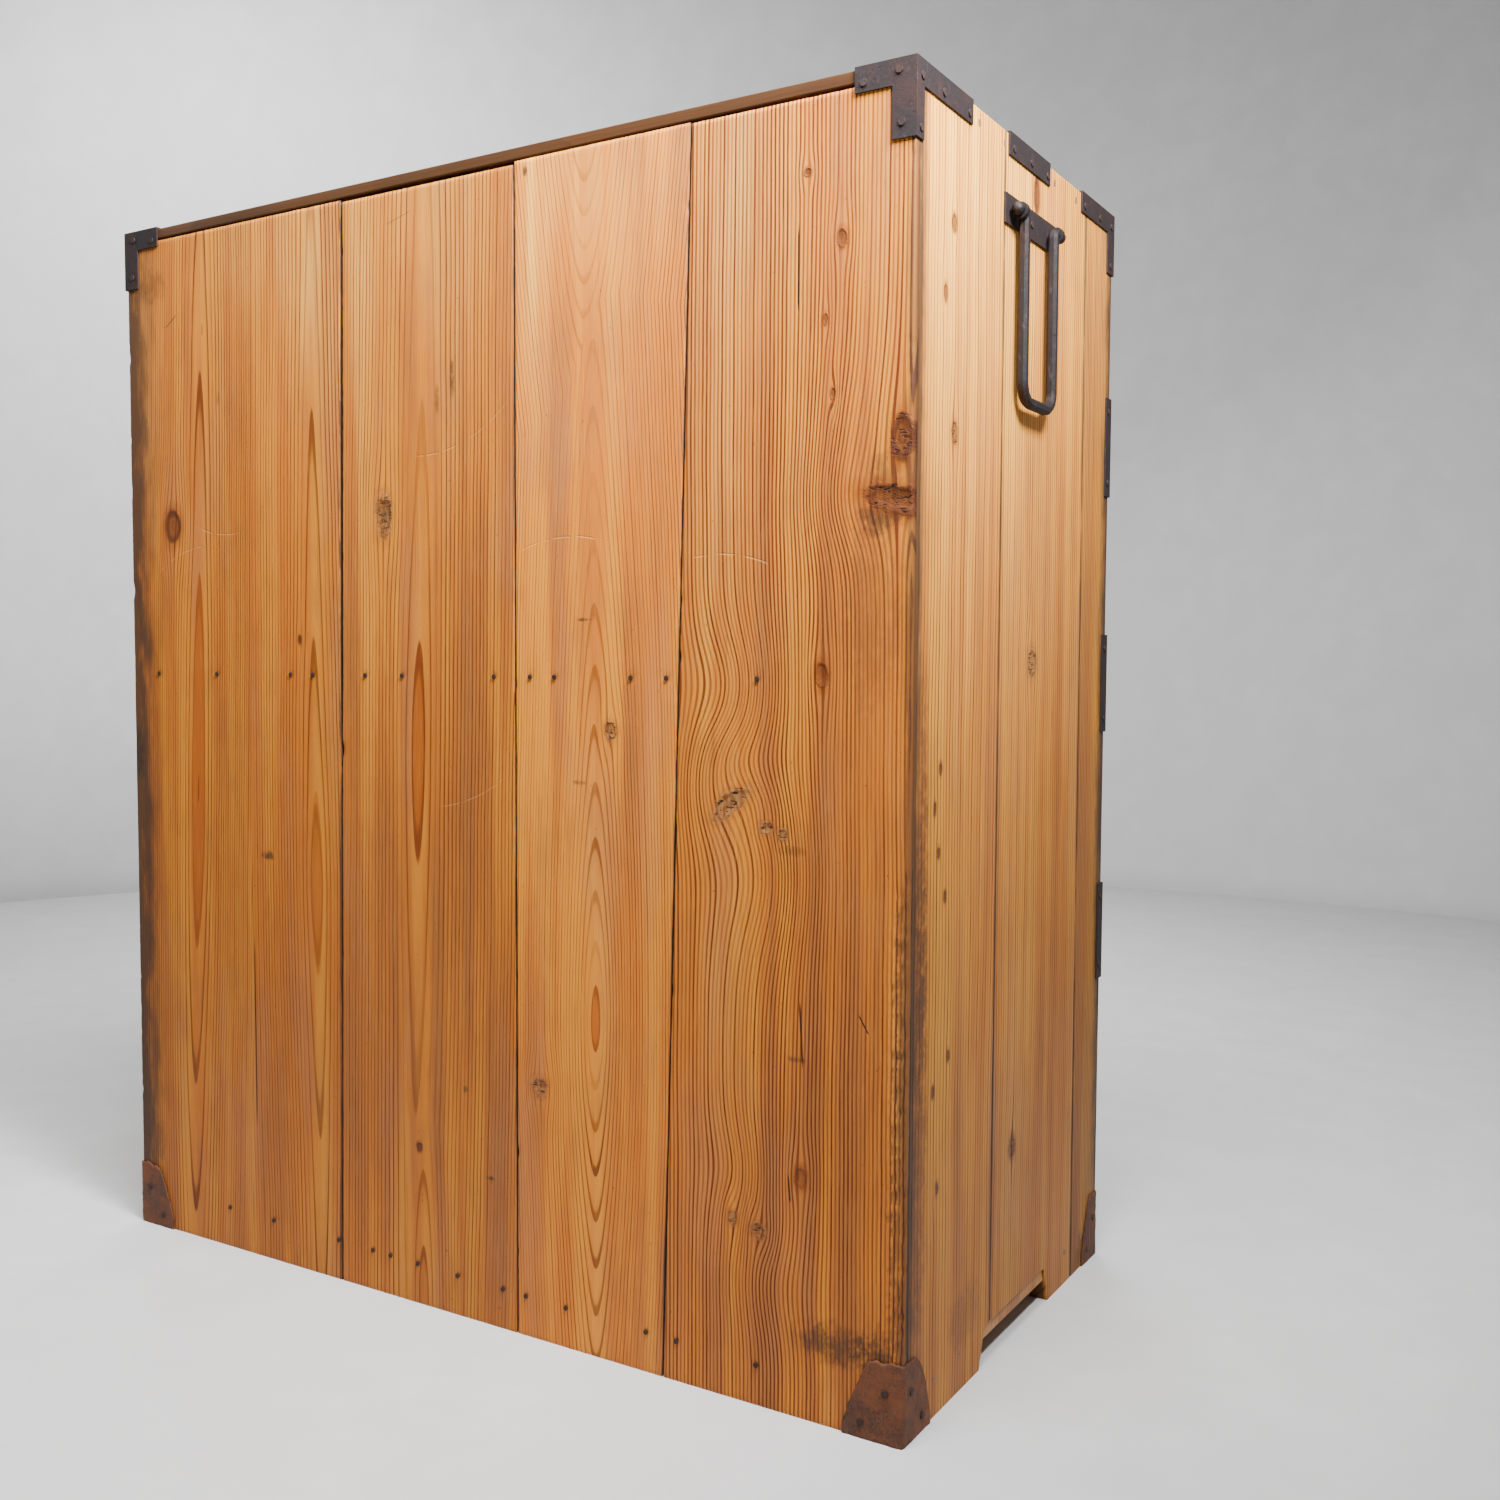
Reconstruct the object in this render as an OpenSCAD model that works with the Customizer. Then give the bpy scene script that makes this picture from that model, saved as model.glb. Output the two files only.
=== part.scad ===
// Apothecary chest: a cedar case of four tiers that grow taller downwards, seventeen drawers,
// iron corner fittings and a swinging carrying handle on each side.
// The front looks along -Y, +Z is up, and the origin is on the floor below the middle of the chest.

/* [Case] */
// Width over the two side panels
case_w = 902; // [860:1:940]
// Depth from the front edge to the outside of the back boards
case_d = 458; // [440:1:480]
// Height of the woodwork
case_h = 1045; // [1035:1:1060]
// Thickness of the side, top and rail boards
board_t = 18; // [17:1:20]
// Thickness of the back boards
back_t = 9; // [7:1:11]
// Height of the bottom board's underside above the floor
bottom_z = 22; // [20:1:26]
// Thickness of the bottom board
bottom_t = 22; // [16:1:24]

/* [Seams] */
// First seam of the back boards from the right, at the top
back_seam_1_top = 138; // [120:1:170]
// First seam, at the floor
back_seam_1_floor = 151; // [120:1:170]
// Second seam, at the top
back_seam_2_top = -70; // [-90:1:-50]
// Second seam, at the floor
back_seam_2_floor = -70; // [-90:1:-50]
// Third seam, at the top
back_seam_3_top = -254; // [-270:1:-210]
// Third seam, at the floor
back_seam_3_floor = -228; // [-270:1:-210]
// Rear seam of a side panel, behind the middle
side_seam_rear = 54; // [40:1:60]
// Front seam of a side panel, at the top
side_seam_front_top = -149; // [-165:1:-140]
// Front seam of a side panel, at the floor
side_seam_front_floor = -155; // [-165:1:-140]

/* [Arch under each side] */
// Middle of the arch, measured from the middle of the depth
arch_mid = -7; // [-12:1:0]
// Width of the arch on the floor
arch_floor_w = 168; // [140:1:180]
// Width of the arch at its top
arch_top_w = 144; // [120:1:150]
// Height of the arch
arch_h = 34; // [30:1:38]

/* [Tiers] */
// Height of the middle of the upper rail
rail_1_z = 819; // [805:1:830]
// Height of the middle of the second rail
rail_2_z = 585; // [575:1:600]
// Height of the middle of the lower rail
rail_3_z = 335; // [320:1:350]
// Depth of a front rail
rail_d = 34; // [24:1:50]
// Thickness of the shelf behind a rail
tier_shelf_t = 10; // [8:1:14]
// Thickness of the shelf between two rows of small drawers
row_shelf_t = 10; // [8:1:14]
// Thickness of an upright between small drawers
small_divider_t = 12; // [8:1:16]
// Thickness of the upright between the two large drawers
large_divider_t = 18; // [12:1:20]

/* [Drawers] */
// Gap at each side of a drawer
drawer_side_gap = 1.2; // [0.8:0.1:2]
// Gap above a drawer
drawer_top_gap = 1.8; // [1:0.1:3]
// Gap below a drawer
drawer_floor_gap = 0.4; // [0.3:0.1:0.8]
// How far the drawer fronts sit behind the front edge of the case
front_inset = 1; // [0.5:0.1:2]
// Free depth behind a closed drawer
rear_gap = 12; // [6:1:30]
// Thickness of a small drawer's front
small_front_t = 15; // [12:1:18]
// Thickness of a large drawer's front
large_front_t = 18; // [14:1:22]
// Thickness of a small drawer's sides and back
small_wall_t = 8; // [6:1:10]
// Thickness of a large drawer's sides and back
large_wall_t = 11; // [8:1:14]
// Thickness of a drawer's bottom
drawer_bottom_t = 7; // [5:1:9]

/* [Iron fittings] */
// Thickness of the corner, edge and rail irons
iron_t = 1.6; // [1.2:0.1:2]
// Length of the rear corner irons along the side
rear_arm = 103; // [80:1:115]
// Length of the front corner irons along the side
front_arm = 95; // [80:1:110]
// Length of the corner irons along the back and the front
face_arm = 50; // [40:1:60]
// Length of the vertical arms of the corner irons
corner_drop = 57; // [45:1:70]
// Length of the edge strap in the middle of each side
strap_len = 97; // [80:1:110]
// Height of the irons at the ends of the rails
rail_iron_h = 97; // [70:1:110]
// Width of a rail iron on the side panel
rail_iron_w = 13; // [10:1:16]
// Height of the foot irons
foot_iron_h = 65; // [55:1:75]
// Width of the foot irons at the floor
foot_iron_w = 50; // [42:1:55]

/* [Carrying handles] */
// Height of a handle's pivot
handle_z = 982; // [970:1:985]
// Middle of a handle, measured from the middle of the depth
handle_mid = -3; // [-10:1:10]
// Distance of the pivot from the side panel
handle_pivot = 9; // [8.8:0.1:11]
// Distance between the middles of a handle's arms
handle_span = 70; // [64:1:78]
// Distance from the pivot to the middle of the grip bar
handle_drop = 156; // [120:1:160]
// Thickness of the handle's bar
handle_bar = 9; // [8:0.5:9.5]
// Length of the plate behind a handle
handle_plate_len = 120; // [116:1:130]
// Height of the plate behind a handle
handle_plate_h = 25; // [20:1:30]

/* [Drawer pulls] */
// How far a knob stands out from its drawer front
knob_len = 23.6; // [20:0.1:26]
// Radius of a knob's head
knob_r = 10; // [8:0.5:12]
// Distance of a drop pull's pivot from its drawer front
pull_pivot = 8; // [7.6:0.1:10]
// Distance between the middles of a drop pull's arms
pull_span = 84; // [70:1:96]
// Distance from the pivot to the middle of a drop pull's bar
pull_drop = 44; // [34:1:50]
// Thickness of a drop pull's bar
pull_bar = 6.4; // [5:0.2:6.6]

/* [Hidden] */
$fn = 48;
row_cols = [4, 4, 3, 3, 2, 1];
small_rows = 4;

past = 1;                  // how far a cut or a buried end runs past the surface it meets
seam_gap = 0.6;            // open joint between neighbouring boards
glue_gap = 0.1;            // glue line between the boards of one drawer
board_tops = [12, 14, 11.5, 12.5];  // how far each back board ends below the top
top_lip_t = 10;            // thickness of the top board's rear lip
top_rabbet = 6;            // how far the top board is let into each side
bottom_housing = 9;        // how far the bottom board is let into each side
tongue_recess = 2;         // how far the bottom board's tongue ends inside the side's face
tongue_margin = 6;         // how far the tongue reaches past each end of the arch

nail_head_r = 2.9;
board_nail_head_r = 2.1;
nail_head_h = 1;
nail_shank_r = 1.3;
board_nail_len = 28;
iron_nail_len = 9;
peg_r = 3;
peg_len = 34;
peg_proud = 0.3;
peg_below_top = 11;        // from the top of the case to the upper pegs
peg_above_bottom = 9;      // from the bottom board's underside to the lower pegs

inner_w = case_w - 2 * board_t;
pull_reach = knob_len - front_inset;
back_reach = iron_t + nail_head_h;
y_front = (pull_reach - back_reach - case_d) / 2;
y_mid = y_front + case_d / 2;
y_back = y_front + case_d;
y_inside = y_back - back_t;
y_face = y_front + front_inset;
x_side = case_w / 2;
z_under_top = case_h - board_t;

rail_z = [rail_1_z, rail_2_z, rail_3_z];
row_shelf_z = [
    (rail_1_z + board_t / 2 + z_under_top) / 2,
    (rail_2_z + rail_1_z) / 2
];

// The clear heights of the drawer rows, from the top row down: [floor, ceiling]
row_clear = [
    [row_shelf_z[0] + row_shelf_t / 2, z_under_top],
    [rail_1_z + board_t / 2, row_shelf_z[0] - row_shelf_t / 2],
    [row_shelf_z[1] + row_shelf_t / 2, rail_1_z - board_t / 2],
    [rail_2_z + board_t / 2, row_shelf_z[1] - row_shelf_t / 2],
    [rail_3_z + board_t / 2, rail_2_z - board_t / 2],
    [bottom_z + bottom_t, rail_3_z - board_t / 2]
];

// The bar, eye and ball sizes of a swinging bail: [bar, stub radius, ball radius, eye width, eye wall]
handle_sizes = [handle_bar, 4, 5.5, 5, 2.5];
pull_sizes = [pull_bar, 2.8, 4.2, 4, 2.2];
eye_clearance = 0.3;
eye_shank = 0.45;          // radius of an eyebolt's shank, in widths of its eye

cedar = [0.73, 0.47, 0.26];
pale_cedar = [0.85, 0.66, 0.46];
dark_cedar = [0.60, 0.37, 0.20];
peg_wood = [0.45, 0.30, 0.18];
iron = [0.22, 0.19, 0.20];
rusty_iron = [0.42, 0.26, 0.18];

// ---- helpers -------------------------------------------------------------------------------

// A block between two corners, given as ranges along the axes
module block(x, y, z) {
    translate([x[0], y[0], z[0]]) cube([x[1] - x[0], y[1] - y[0], z[1] - z[0]]);
}

// Face frames: x runs along the face, y is the height and z looks out of the wood
module on_right() {
    translate([x_side, y_mid, 0]) rotate([90, 0, 90]) children();
}

module on_back() {
    translate([0, y_back, 0]) rotate([90, 0, 180]) children();
}

module on_front(y) {
    translate([0, y, 0]) rotate([90, 0, 0]) children();
}

module both_sides() {
    children();
    mirror([1, 0, 0]) children();
}

// Turns a fitting of the rear edge into one of the front edge
module at_front() {
    translate([0, 2 * y_mid, 0]) mirror([0, 1, 0]) children();
}

function lean(top, floor, z) = floor + (top - floor) * z / case_h;

function divider_t(r) = r < small_rows ? small_divider_t : large_divider_t;

function cell_w(r) = (inner_w - (row_cols[r] - 1) * divider_t(r)) / row_cols[r];

function cell_x(r, c) = -inner_w / 2 + cell_w(r) / 2 + c * (cell_w(r) + divider_t(r));

function row_h(r) = row_clear[r][1] - row_clear[r][0];

// ---- case woodwork -------------------------------------------------------------------------

// The edges between the back boards at a height, from the right side to the left
function back_edges(z) = [
    x_side,
    lean(back_seam_1_top, back_seam_1_floor, z),
    lean(back_seam_2_top, back_seam_2_floor, z),
    lean(back_seam_3_top, back_seam_3_floor, z),
    -x_side
];

module back_board(i) {
    top = case_h - board_tops[i];
    right_gap = i == 0 ? 0 : seam_gap / 2;
    left_gap = i == 3 ? 0 : seam_gap / 2;
    color(cedar)
    translate([0, y_back, 0]) rotate([90, 0, 0]) linear_extrude(back_t) polygon([
        [back_edges(0)[i + 1] + left_gap, 0],
        [back_edges(0)[i] - right_gap, 0],
        [back_edges(top)[i] - right_gap, top],
        [back_edges(top)[i + 1] + left_gap, top]
    ]);
}

module arch_cut() {
    on_right() translate([arch_mid, 0, -board_t - past]) linear_extrude(board_t + 2 * past) polygon([
        [-arch_floor_w / 2, -past],
        [arch_floor_w / 2, -past],
        [arch_top_w / 2, arch_h],
        [-arch_top_w / 2, arch_h]
    ]);
}

// The right side panel: three upright boards, housed for the top and the bottom board
module side_boards() {
    front = y_front - y_mid;
    rear = y_inside - y_mid;
    floor_edges = [front, side_seam_front_floor, side_seam_rear, rear];
    top_edges = [front, side_seam_front_top, side_seam_rear, rear];
    x_in = x_side - board_t;
    difference() {
        for (i = [0:2]) {
            a = i == 0 ? 0 : seam_gap / 2;
            b = i == 2 ? 0 : seam_gap / 2;
            on_right() translate([0, 0, -board_t]) linear_extrude(board_t) polygon([
                [floor_edges[i] + a, 0],
                [floor_edges[i + 1] - b, 0],
                [top_edges[i + 1] - b, case_h],
                [top_edges[i] + a, case_h]
            ]);
        }
        arch_cut();
        block([x_in - past, x_in + top_rabbet], [y_front - past, y_inside + past],
              [z_under_top, case_h + past]);
        block([x_in - past, x_in + bottom_housing], [y_front - past, y_inside + past],
              [bottom_z, bottom_z + bottom_t]);
        bottom_tongue();
    }
}

// The tongue that carries the bottom board out to the arch
module bottom_tongue() {
    y = y_mid + arch_mid;
    half = arch_top_w / 2 + tongue_margin;
    block([x_side - board_t - past, x_side - tongue_recess], [y - half, y + half],
          [bottom_z, bottom_z + bottom_t]);
}

module left_side_boards() {
    color(pale_cedar) mirror([1, 0, 0]) side_boards();
}

module right_side_boards() {
    color(pale_cedar) side_boards();
}

module top_board() {
    half = inner_w / 2 + top_rabbet;
    color(cedar) union() {
        block([-half, half], [y_front, y_inside], [z_under_top, case_h]);
        block([-x_side, x_side], [y_inside, y_back], [case_h - top_lip_t, case_h]);
    }
}

module bottom_board() {
    half = inner_w / 2 + bottom_housing;
    color(dark_cedar) union() {
        block([-half, half], [y_front, y_inside], [bottom_z, bottom_z + bottom_t]);
        both_sides() bottom_tongue();
    }
}

module front_rails() {
    color(cedar) for (z = rail_z)
        block([-inner_w / 2, inner_w / 2], [y_front, y_front + rail_d], [z - board_t / 2, z + board_t / 2]);
}

module tier_shelves() {
    color(pale_cedar) for (z = rail_z)
        block([-inner_w / 2, inner_w / 2], [y_front + rail_d, y_inside],
              [z + board_t / 2 - tier_shelf_t, z + board_t / 2]);
}

module row_shelves() {
    color(pale_cedar) for (z = row_shelf_z)
        block([-inner_w / 2, inner_w / 2], [y_front, y_inside], [z - row_shelf_t / 2, z + row_shelf_t / 2]);
}

module drawer_dividers() {
    color(cedar) for (r = [0:4], c = [0:row_cols[r] - 2])
        translate([cell_x(r, c) + cell_w(r) / 2, y_front, row_clear[r][0]])
            cube([divider_t(r), case_d - back_t, row_h(r)]);
}

// ---- iron fittings -------------------------------------------------------------------------

arm_h = board_t;           // height of the arms that run along the top edge
flange_w = 16;             // width of the flanges on the top face
rear_drop_w = [12, 19];    // width of a rear corner iron's vertical arms: on the side, on the back
front_drop_w = [18, 17];   // the same for a front corner iron: on the side, on the front

// A corner iron of the right rear top corner
module corner_iron(side_arm, drop_w) {
    out_x = x_side + iron_t;
    out_y = y_back + iron_t;
    out_z = case_h + iron_t;
    union() {
        block([x_side, out_x], [y_back - side_arm, out_y], [case_h - arm_h, out_z]);
        block([x_side, out_x], [y_back - drop_w[0], out_y], [case_h - corner_drop, out_z]);
        block([x_side - face_arm, out_x], [y_back, out_y], [case_h - arm_h, out_z]);
        block([x_side - drop_w[1], out_x], [y_back, out_y], [case_h - corner_drop, out_z]);
        block([x_side - flange_w, out_x], [y_back - side_arm, out_y], [case_h, out_z]);
        block([x_side - face_arm, out_x], [y_back - flange_w, out_y], [case_h, out_z]);
    }
}

module top_corner_irons() {
    color(iron) both_sides() {
        corner_iron(rear_arm, rear_drop_w);
        at_front() corner_iron(front_arm, front_drop_w);
    }
}

module top_edge_straps() {
    ends = [y_mid - strap_len / 2, y_mid + strap_len / 2];
    color(iron) both_sides() union() {
        block([x_side, x_side + iron_t], ends, [case_h - arm_h, case_h + iron_t]);
        block([x_side - flange_w, x_side + iron_t], ends, [case_h, case_h + iron_t]);
    }
}

rail_arm = 44;             // length of a rail iron's arm along the rail
rail_iron_drop_w = 17;     // width of a rail iron on the side panel's front edge
rail_arm_inset = 1;        // from the edge of a rail to the edge of the arm on it

module rail_end_irons() {
    arm_half = board_t / 2 - rail_arm_inset;
    color(iron) for (z = rail_z) both_sides() union() {
        span = [z - rail_iron_h / 2, z + rail_iron_h / 2];
        front = [y_front - iron_t, y_front];
        block([x_side, x_side + iron_t], [front[0], y_front + rail_iron_w], span);
        block([x_side - rail_iron_drop_w, x_side + iron_t], front, span);
        block([x_side - rail_arm, x_side], front, [z - arm_half, z + arm_half]);
    }
}

rear_foot_side_w = foot_iron_w - 2;    // width of a foot iron on the side panel, at the rear
front_foot_side_w = foot_iron_w - 8;   // and at the front
front_foot_w = board_t - 1;            // width of a foot iron on the side panel's front edge

// Outline of a foot iron from its upright edge: a rounded shoulder, drawn as short straight cuts
function foot_outline(w, h) = [
    [0, 0], [w, 0], [w, 0.15 * h], [0.94 * w, 0.32 * h], [0.83 * w, 0.55 * h],
    [0.69 * w, 0.79 * h], [0.57 * w, 0.93 * h], [0.44 * w, h], [0, h]
];

module foot_iron_sheet(w) {
    linear_extrude(iron_t) polygon(foot_outline(w, foot_iron_h));
}

module foot_iron_edge() {
    block([x_side, x_side + iron_t], [y_back, y_back + iron_t], [0, foot_iron_h]);
}

module rear_foot_iron() {
    union() {
        on_right() translate([case_d / 2, 0, 0]) mirror([1, 0, 0]) foot_iron_sheet(rear_foot_side_w);
        on_back() translate([-x_side, 0, 0]) foot_iron_sheet(foot_iron_w);
        foot_iron_edge();
    }
}

module front_foot_iron() {
    union() {
        on_right() translate([-case_d / 2, 0, 0]) foot_iron_sheet(front_foot_side_w);
        at_front() foot_iron_edge();
        block([x_side - front_foot_w, x_side], [y_front - iron_t, y_front], [0, foot_iron_h]);
    }
}

module foot_irons() {
    color(rusty_iron) both_sides() {
        rear_foot_iron();
        front_foot_iron();
    }
}

// ---- swinging bails ------------------------------------------------------------------------

// An octagonal bar section
module bar_section(w) {
    c = 0.27 * w;
    polygon([
        [w / 2, c - w / 2], [w / 2, w / 2 - c], [w / 2 - c, w / 2], [c - w / 2, w / 2],
        [-w / 2, w / 2 - c], [-w / 2, c - w / 2], [c - w / 2, -w / 2], [w / 2 - c, -w / 2]
    ]);
}

function bend_r(sizes) = 0.56 * sizes[0];

function eye_x(sizes, span) = span / 2 + bend_r(sizes) + eye_clearance;

// A bail hanging from a pivot along x: two arms, a bar with round corners, and balls on the ends
module bail(span, drop, sizes) {
    bar = sizes[0];
    corner = 1.9 * bar;
    bend = bend_r(sizes);
    ball_x = eye_x(sizes, span) + sizes[3] + 0.9 * sizes[2];
    union() {
        translate([corner - span / 2, -drop, 0]) rotate([90, 0, 90])
            linear_extrude(span - 2 * corner) bar_section(bar);
        for (m = [0, 1]) mirror([m, 0, 0]) {
            translate([span / 2 - corner, corner - drop, 0]) rotate([0, 0, -90])
                rotate_extrude(angle = 90) translate([corner, 0]) bar_section(bar);
            translate([span / 2, corner - drop, 0]) rotate([-90, 0, 0])
                linear_extrude(drop - corner - bend) bar_section(bar);
            translate([span / 2 + bend, -bend, 0]) rotate([0, 0, 90])
                rotate_extrude(angle = 90) translate([bend, 0]) bar_section(bar);
            translate([span / 2 + bend, 0, 0]) rotate([0, 90, 0])
                cylinder(r = sizes[1], h = ball_x - span / 2 - bend);
            translate([ball_x, 0, 0]) sphere(r = sizes[2]);
        }
    }
}

// The two eyebolts that carry a bail, with their shanks driven into the wood
module bail_eyes(span, sizes, shank_len) {
    bore = sizes[1] + eye_clearance;
    for (m = [0, 1]) mirror([m, 0, 0]) translate([eye_x(sizes, span), 0, 0]) difference() {
        union() {
            rotate([0, 90, 0]) cylinder(r = bore + sizes[4], h = sizes[3]);
            translate([sizes[3] / 2, 0, -shank_len])
                cylinder(r = eye_shank * sizes[3], h = shank_len - bore);
        }
        translate([-past, 0, 0]) rotate([0, 90, 0]) cylinder(r = bore, h = sizes[3] + 2 * past);
    }
}

module at_handle() {
    on_right() translate([handle_mid, handle_z, handle_pivot]) children();
}

module right_handle() {
    color(iron) at_handle() bail(handle_span, handle_drop, handle_sizes);
}

module left_handle() {
    color(iron) mirror([1, 0, 0]) at_handle() bail(handle_span, handle_drop, handle_sizes);
}

handle_plate_t = 2;
handle_shank_end = 1;      // wood left behind the shank of a handle's eyebolt

module handle_plates() {
    y = y_mid + handle_mid;
    color(iron) both_sides()
        block([x_side, x_side + handle_plate_t],
              [y - handle_plate_len / 2, y + handle_plate_len / 2],
              [handle_z - handle_plate_h / 2, handle_z + handle_plate_h / 2]);
}

module handle_eyes() {
    color(iron) both_sides() at_handle()
        bail_eyes(handle_span, handle_sizes, handle_pivot + board_t - handle_shank_end);
}

// ---- nails and pegs ------------------------------------------------------------------------

board_nails_mid = [410, 320, 213, 182, 112, 65, -46, -87, -114, -195, -231, -318];
board_nails_low = [312, 247, 155, 109, 86, 51, 1, -53, -80, -125, -211, -242, -320];
board_nail_mid_z = rail_2_z + 5;
board_nail_low_z = bottom_z + 0.7 * bottom_t;
low_row_slope = 0.012;
nail_inset = 8;            // from the edge of an iron to a nail
nail_stagger = 4;          // keeps the nails from the two faces of a corner apart
arm_nail_z = case_h - arm_h / 2 - 2;   // height of the nails along the top edge
strap_nails = [-41, -2, 39];           // along the depth, from the middle of the chest
foot_nails_at = [[0.28, 0.62], [0.70, 0.20]];   // in widths and heights of a foot iron
rail_nail_side = 0.36;     // height of a rail iron's nails on the side, in heights of the iron
rail_nail_front = 0.28;    // and on the front

module nail(length, head_r = nail_head_r) {
    cylinder(r = head_r, h = nail_head_h);
    translate([0, 0, -length]) cylinder(r = nail_shank_r, h = length + nail_head_h / 2);
}

// A nail through an iron on the right side, at a distance behind the middle
module side_nail(y, z, plate_t = iron_t) {
    on_right() translate([y, z, plate_t]) nail(iron_nail_len);
}

// A nail through an iron on the back, near the right edge
module back_nail(x, z) {
    on_back() translate([-x, z, iron_t]) nail(iron_nail_len);
}

module corner_nails(side_arm, drop_w) {
    rear = case_d / 2;
    z_drop = case_h - corner_drop + nail_inset;
    side_nail(rear - nail_inset, arm_nail_z);
    side_nail(rear - 0.45 * side_arm, arm_nail_z);
    side_nail(rear - side_arm + nail_inset, arm_nail_z);
    side_nail(rear - drop_w[0] / 2, z_drop);
    back_nail(x_side - 1.6 * nail_inset, arm_nail_z + nail_stagger);
    back_nail(x_side - face_arm + nail_inset, arm_nail_z);
    back_nail(x_side - 0.55 * drop_w[1], z_drop + nail_stagger);
}

module foot_nails(w) {
    for (at = foot_nails_at) side_nail(case_d / 2 - at[0] * w, at[1] * foot_iron_h);
}

module iron_nails() {
    color(iron) {
        for (x = board_nails_mid)
            on_back() translate([-x, board_nail_mid_z, 0]) nail(board_nail_len, board_nail_head_r);
        for (x = board_nails_low)
            on_back() translate([-x, board_nail_low_z + low_row_slope * x, 0])
                nail(board_nail_len, board_nail_head_r);
        both_sides() {
            corner_nails(rear_arm, rear_drop_w);
            at_front() corner_nails(front_arm, front_drop_w);
            for (y = strap_nails) side_nail(y, arm_nail_z);
            side_nail(handle_mid, handle_z, handle_plate_t);
            for (z = rail_z) {
                at_front() back_nail(x_side - rail_arm + nail_inset, z);
                for (m = [-1, 1]) {
                    side_nail(rail_iron_w / 2 - case_d / 2, z + m * rail_nail_side * rail_iron_h);
                    at_front()
                        back_nail(x_side - 0.55 * rail_iron_drop_w, z + m * rail_nail_front * rail_iron_h);
                }
            }
            foot_nails(rear_foot_side_w);
            at_front() foot_nails(front_foot_side_w);
            for (at = foot_nails_at) back_nail(x_side - at[0] * foot_iron_w, at[1] * foot_iron_h);
            at_front() back_nail(x_side - front_foot_w / 2, foot_nails_at[0][1] * foot_iron_h);
        }
    }
}

top_pegs = [-120, -63, 56, 110];
bottom_pegs = [-185, -138, 120, 170];

module side_peg(y, z) {
    on_right() translate([y, z, peg_proud - peg_len]) cylinder(r = peg_r, h = peg_len);
}

module wooden_pegs() {
    color(peg_wood) both_sides() {
        for (y = top_pegs)
            side_peg(y, case_h - peg_below_top);
        for (y = bottom_pegs)
            side_peg(y, bottom_z + peg_above_bottom);
    }
}

// ---- drawers -------------------------------------------------------------------------------

side_drop = 3;             // how far a drawer's sides end below its front
back_drop = 12;            // how far a drawer's back ends below its front

// An open box of five boards, with the middle of its front's lower edge at the origin
module drawer_box(w, d, h, front_t, wall_t) {
    y0 = front_t + glue_gap;
    z0 = drawer_bottom_t + glue_gap;
    block([-w / 2, w / 2], [0, front_t], [0, h]);
    block([-w / 2, w / 2], [y0, d], [0, drawer_bottom_t]);
    for (m = [0, 1]) mirror([m, 0, 0])
        block([w / 2 - wall_t, w / 2], [y0, d], [z0, h - side_drop]);
    block([wall_t + glue_gap - w / 2, w / 2 - wall_t - glue_gap], [d - wall_t, d], [z0, h - back_drop]);
}

module drawer(r, c) {
    small = r < small_rows;
    color(small ? pale_cedar : cedar)
    translate([cell_x(r, c), y_face, row_clear[r][0] + drawer_floor_gap])
        drawer_box(
            cell_w(r) - 2 * drawer_side_gap,
            y_inside - rear_gap - y_face,
            row_h(r) - drawer_floor_gap - drawer_top_gap,
            small ? small_front_t : large_front_t,
            small ? small_wall_t : large_wall_t
        );
}

rose_r = 13;
rose_t = 1.6;
knob_stem_r = 4;
knob_shank_r = 2.4;
knob_shank_len = 10;
knob_rim_h = 3.5;
knob_dome_r = 15;

// A turned knob on a round rose, with its shank driven into the drawer front
module knob(r, c) {
    dome_h = knob_dome_r - sqrt(knob_dome_r * knob_dome_r - knob_r * knob_r);
    rim_z = knob_len - dome_h;
    color(iron)
    on_front(y_face) translate([cell_x(r, c), (row_clear[r][0] + row_clear[r][1]) / 2, 0]) {
        translate([0, 0, -knob_shank_len]) cylinder(r = knob_shank_r, h = knob_shank_len + past);
        cylinder(r = rose_r, h = rose_t);
        cylinder(r = knob_stem_r, h = rim_z);
        translate([0, 0, rim_z - 2 * knob_rim_h])
            cylinder(r1 = knob_stem_r, r2 = knob_r, h = knob_rim_h);
        translate([0, 0, rim_z - knob_rim_h]) cylinder(r = knob_r, h = knob_rim_h);
        translate([0, 0, rim_z]) intersection() {
            translate([0, 0, dome_h - knob_dome_r]) sphere(r = knob_dome_r);
            cylinder(r = knob_r + past, h = dome_h + past);
        }
    }
}

pull_rise = 20;            // how far a drop pull's pivot is above the middle of its drawer front

module at_pull(r, c) {
    on_front(y_face)
        translate([cell_x(4, c), (row_clear[r][0] + row_clear[r][1]) / 2 + pull_rise, pull_pivot])
            children();
}

// The roses and eyebolts of one drop pull
module pull_plate_pair(r, c) {
    at_pull(r, c) {
        bail_eyes(pull_span, pull_sizes, pull_pivot + knob_shank_len);
        for (m = [0, 1]) mirror([m, 0, 0])
            translate([eye_x(pull_sizes, pull_span) + pull_sizes[3] / 2, 0, -pull_pivot])
                cylinder(r = rose_r, h = rose_t);
    }
}

module pull_plates(r, columns) {
    color(iron) for (c = columns) pull_plate_pair(r, c);
}

module drop_pull(r, c) {
    color(iron) at_pull(r, c) bail(pull_span, pull_drop, pull_sizes);
}

// ---- nodes ---------------------------------------------------------------------------------

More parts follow.
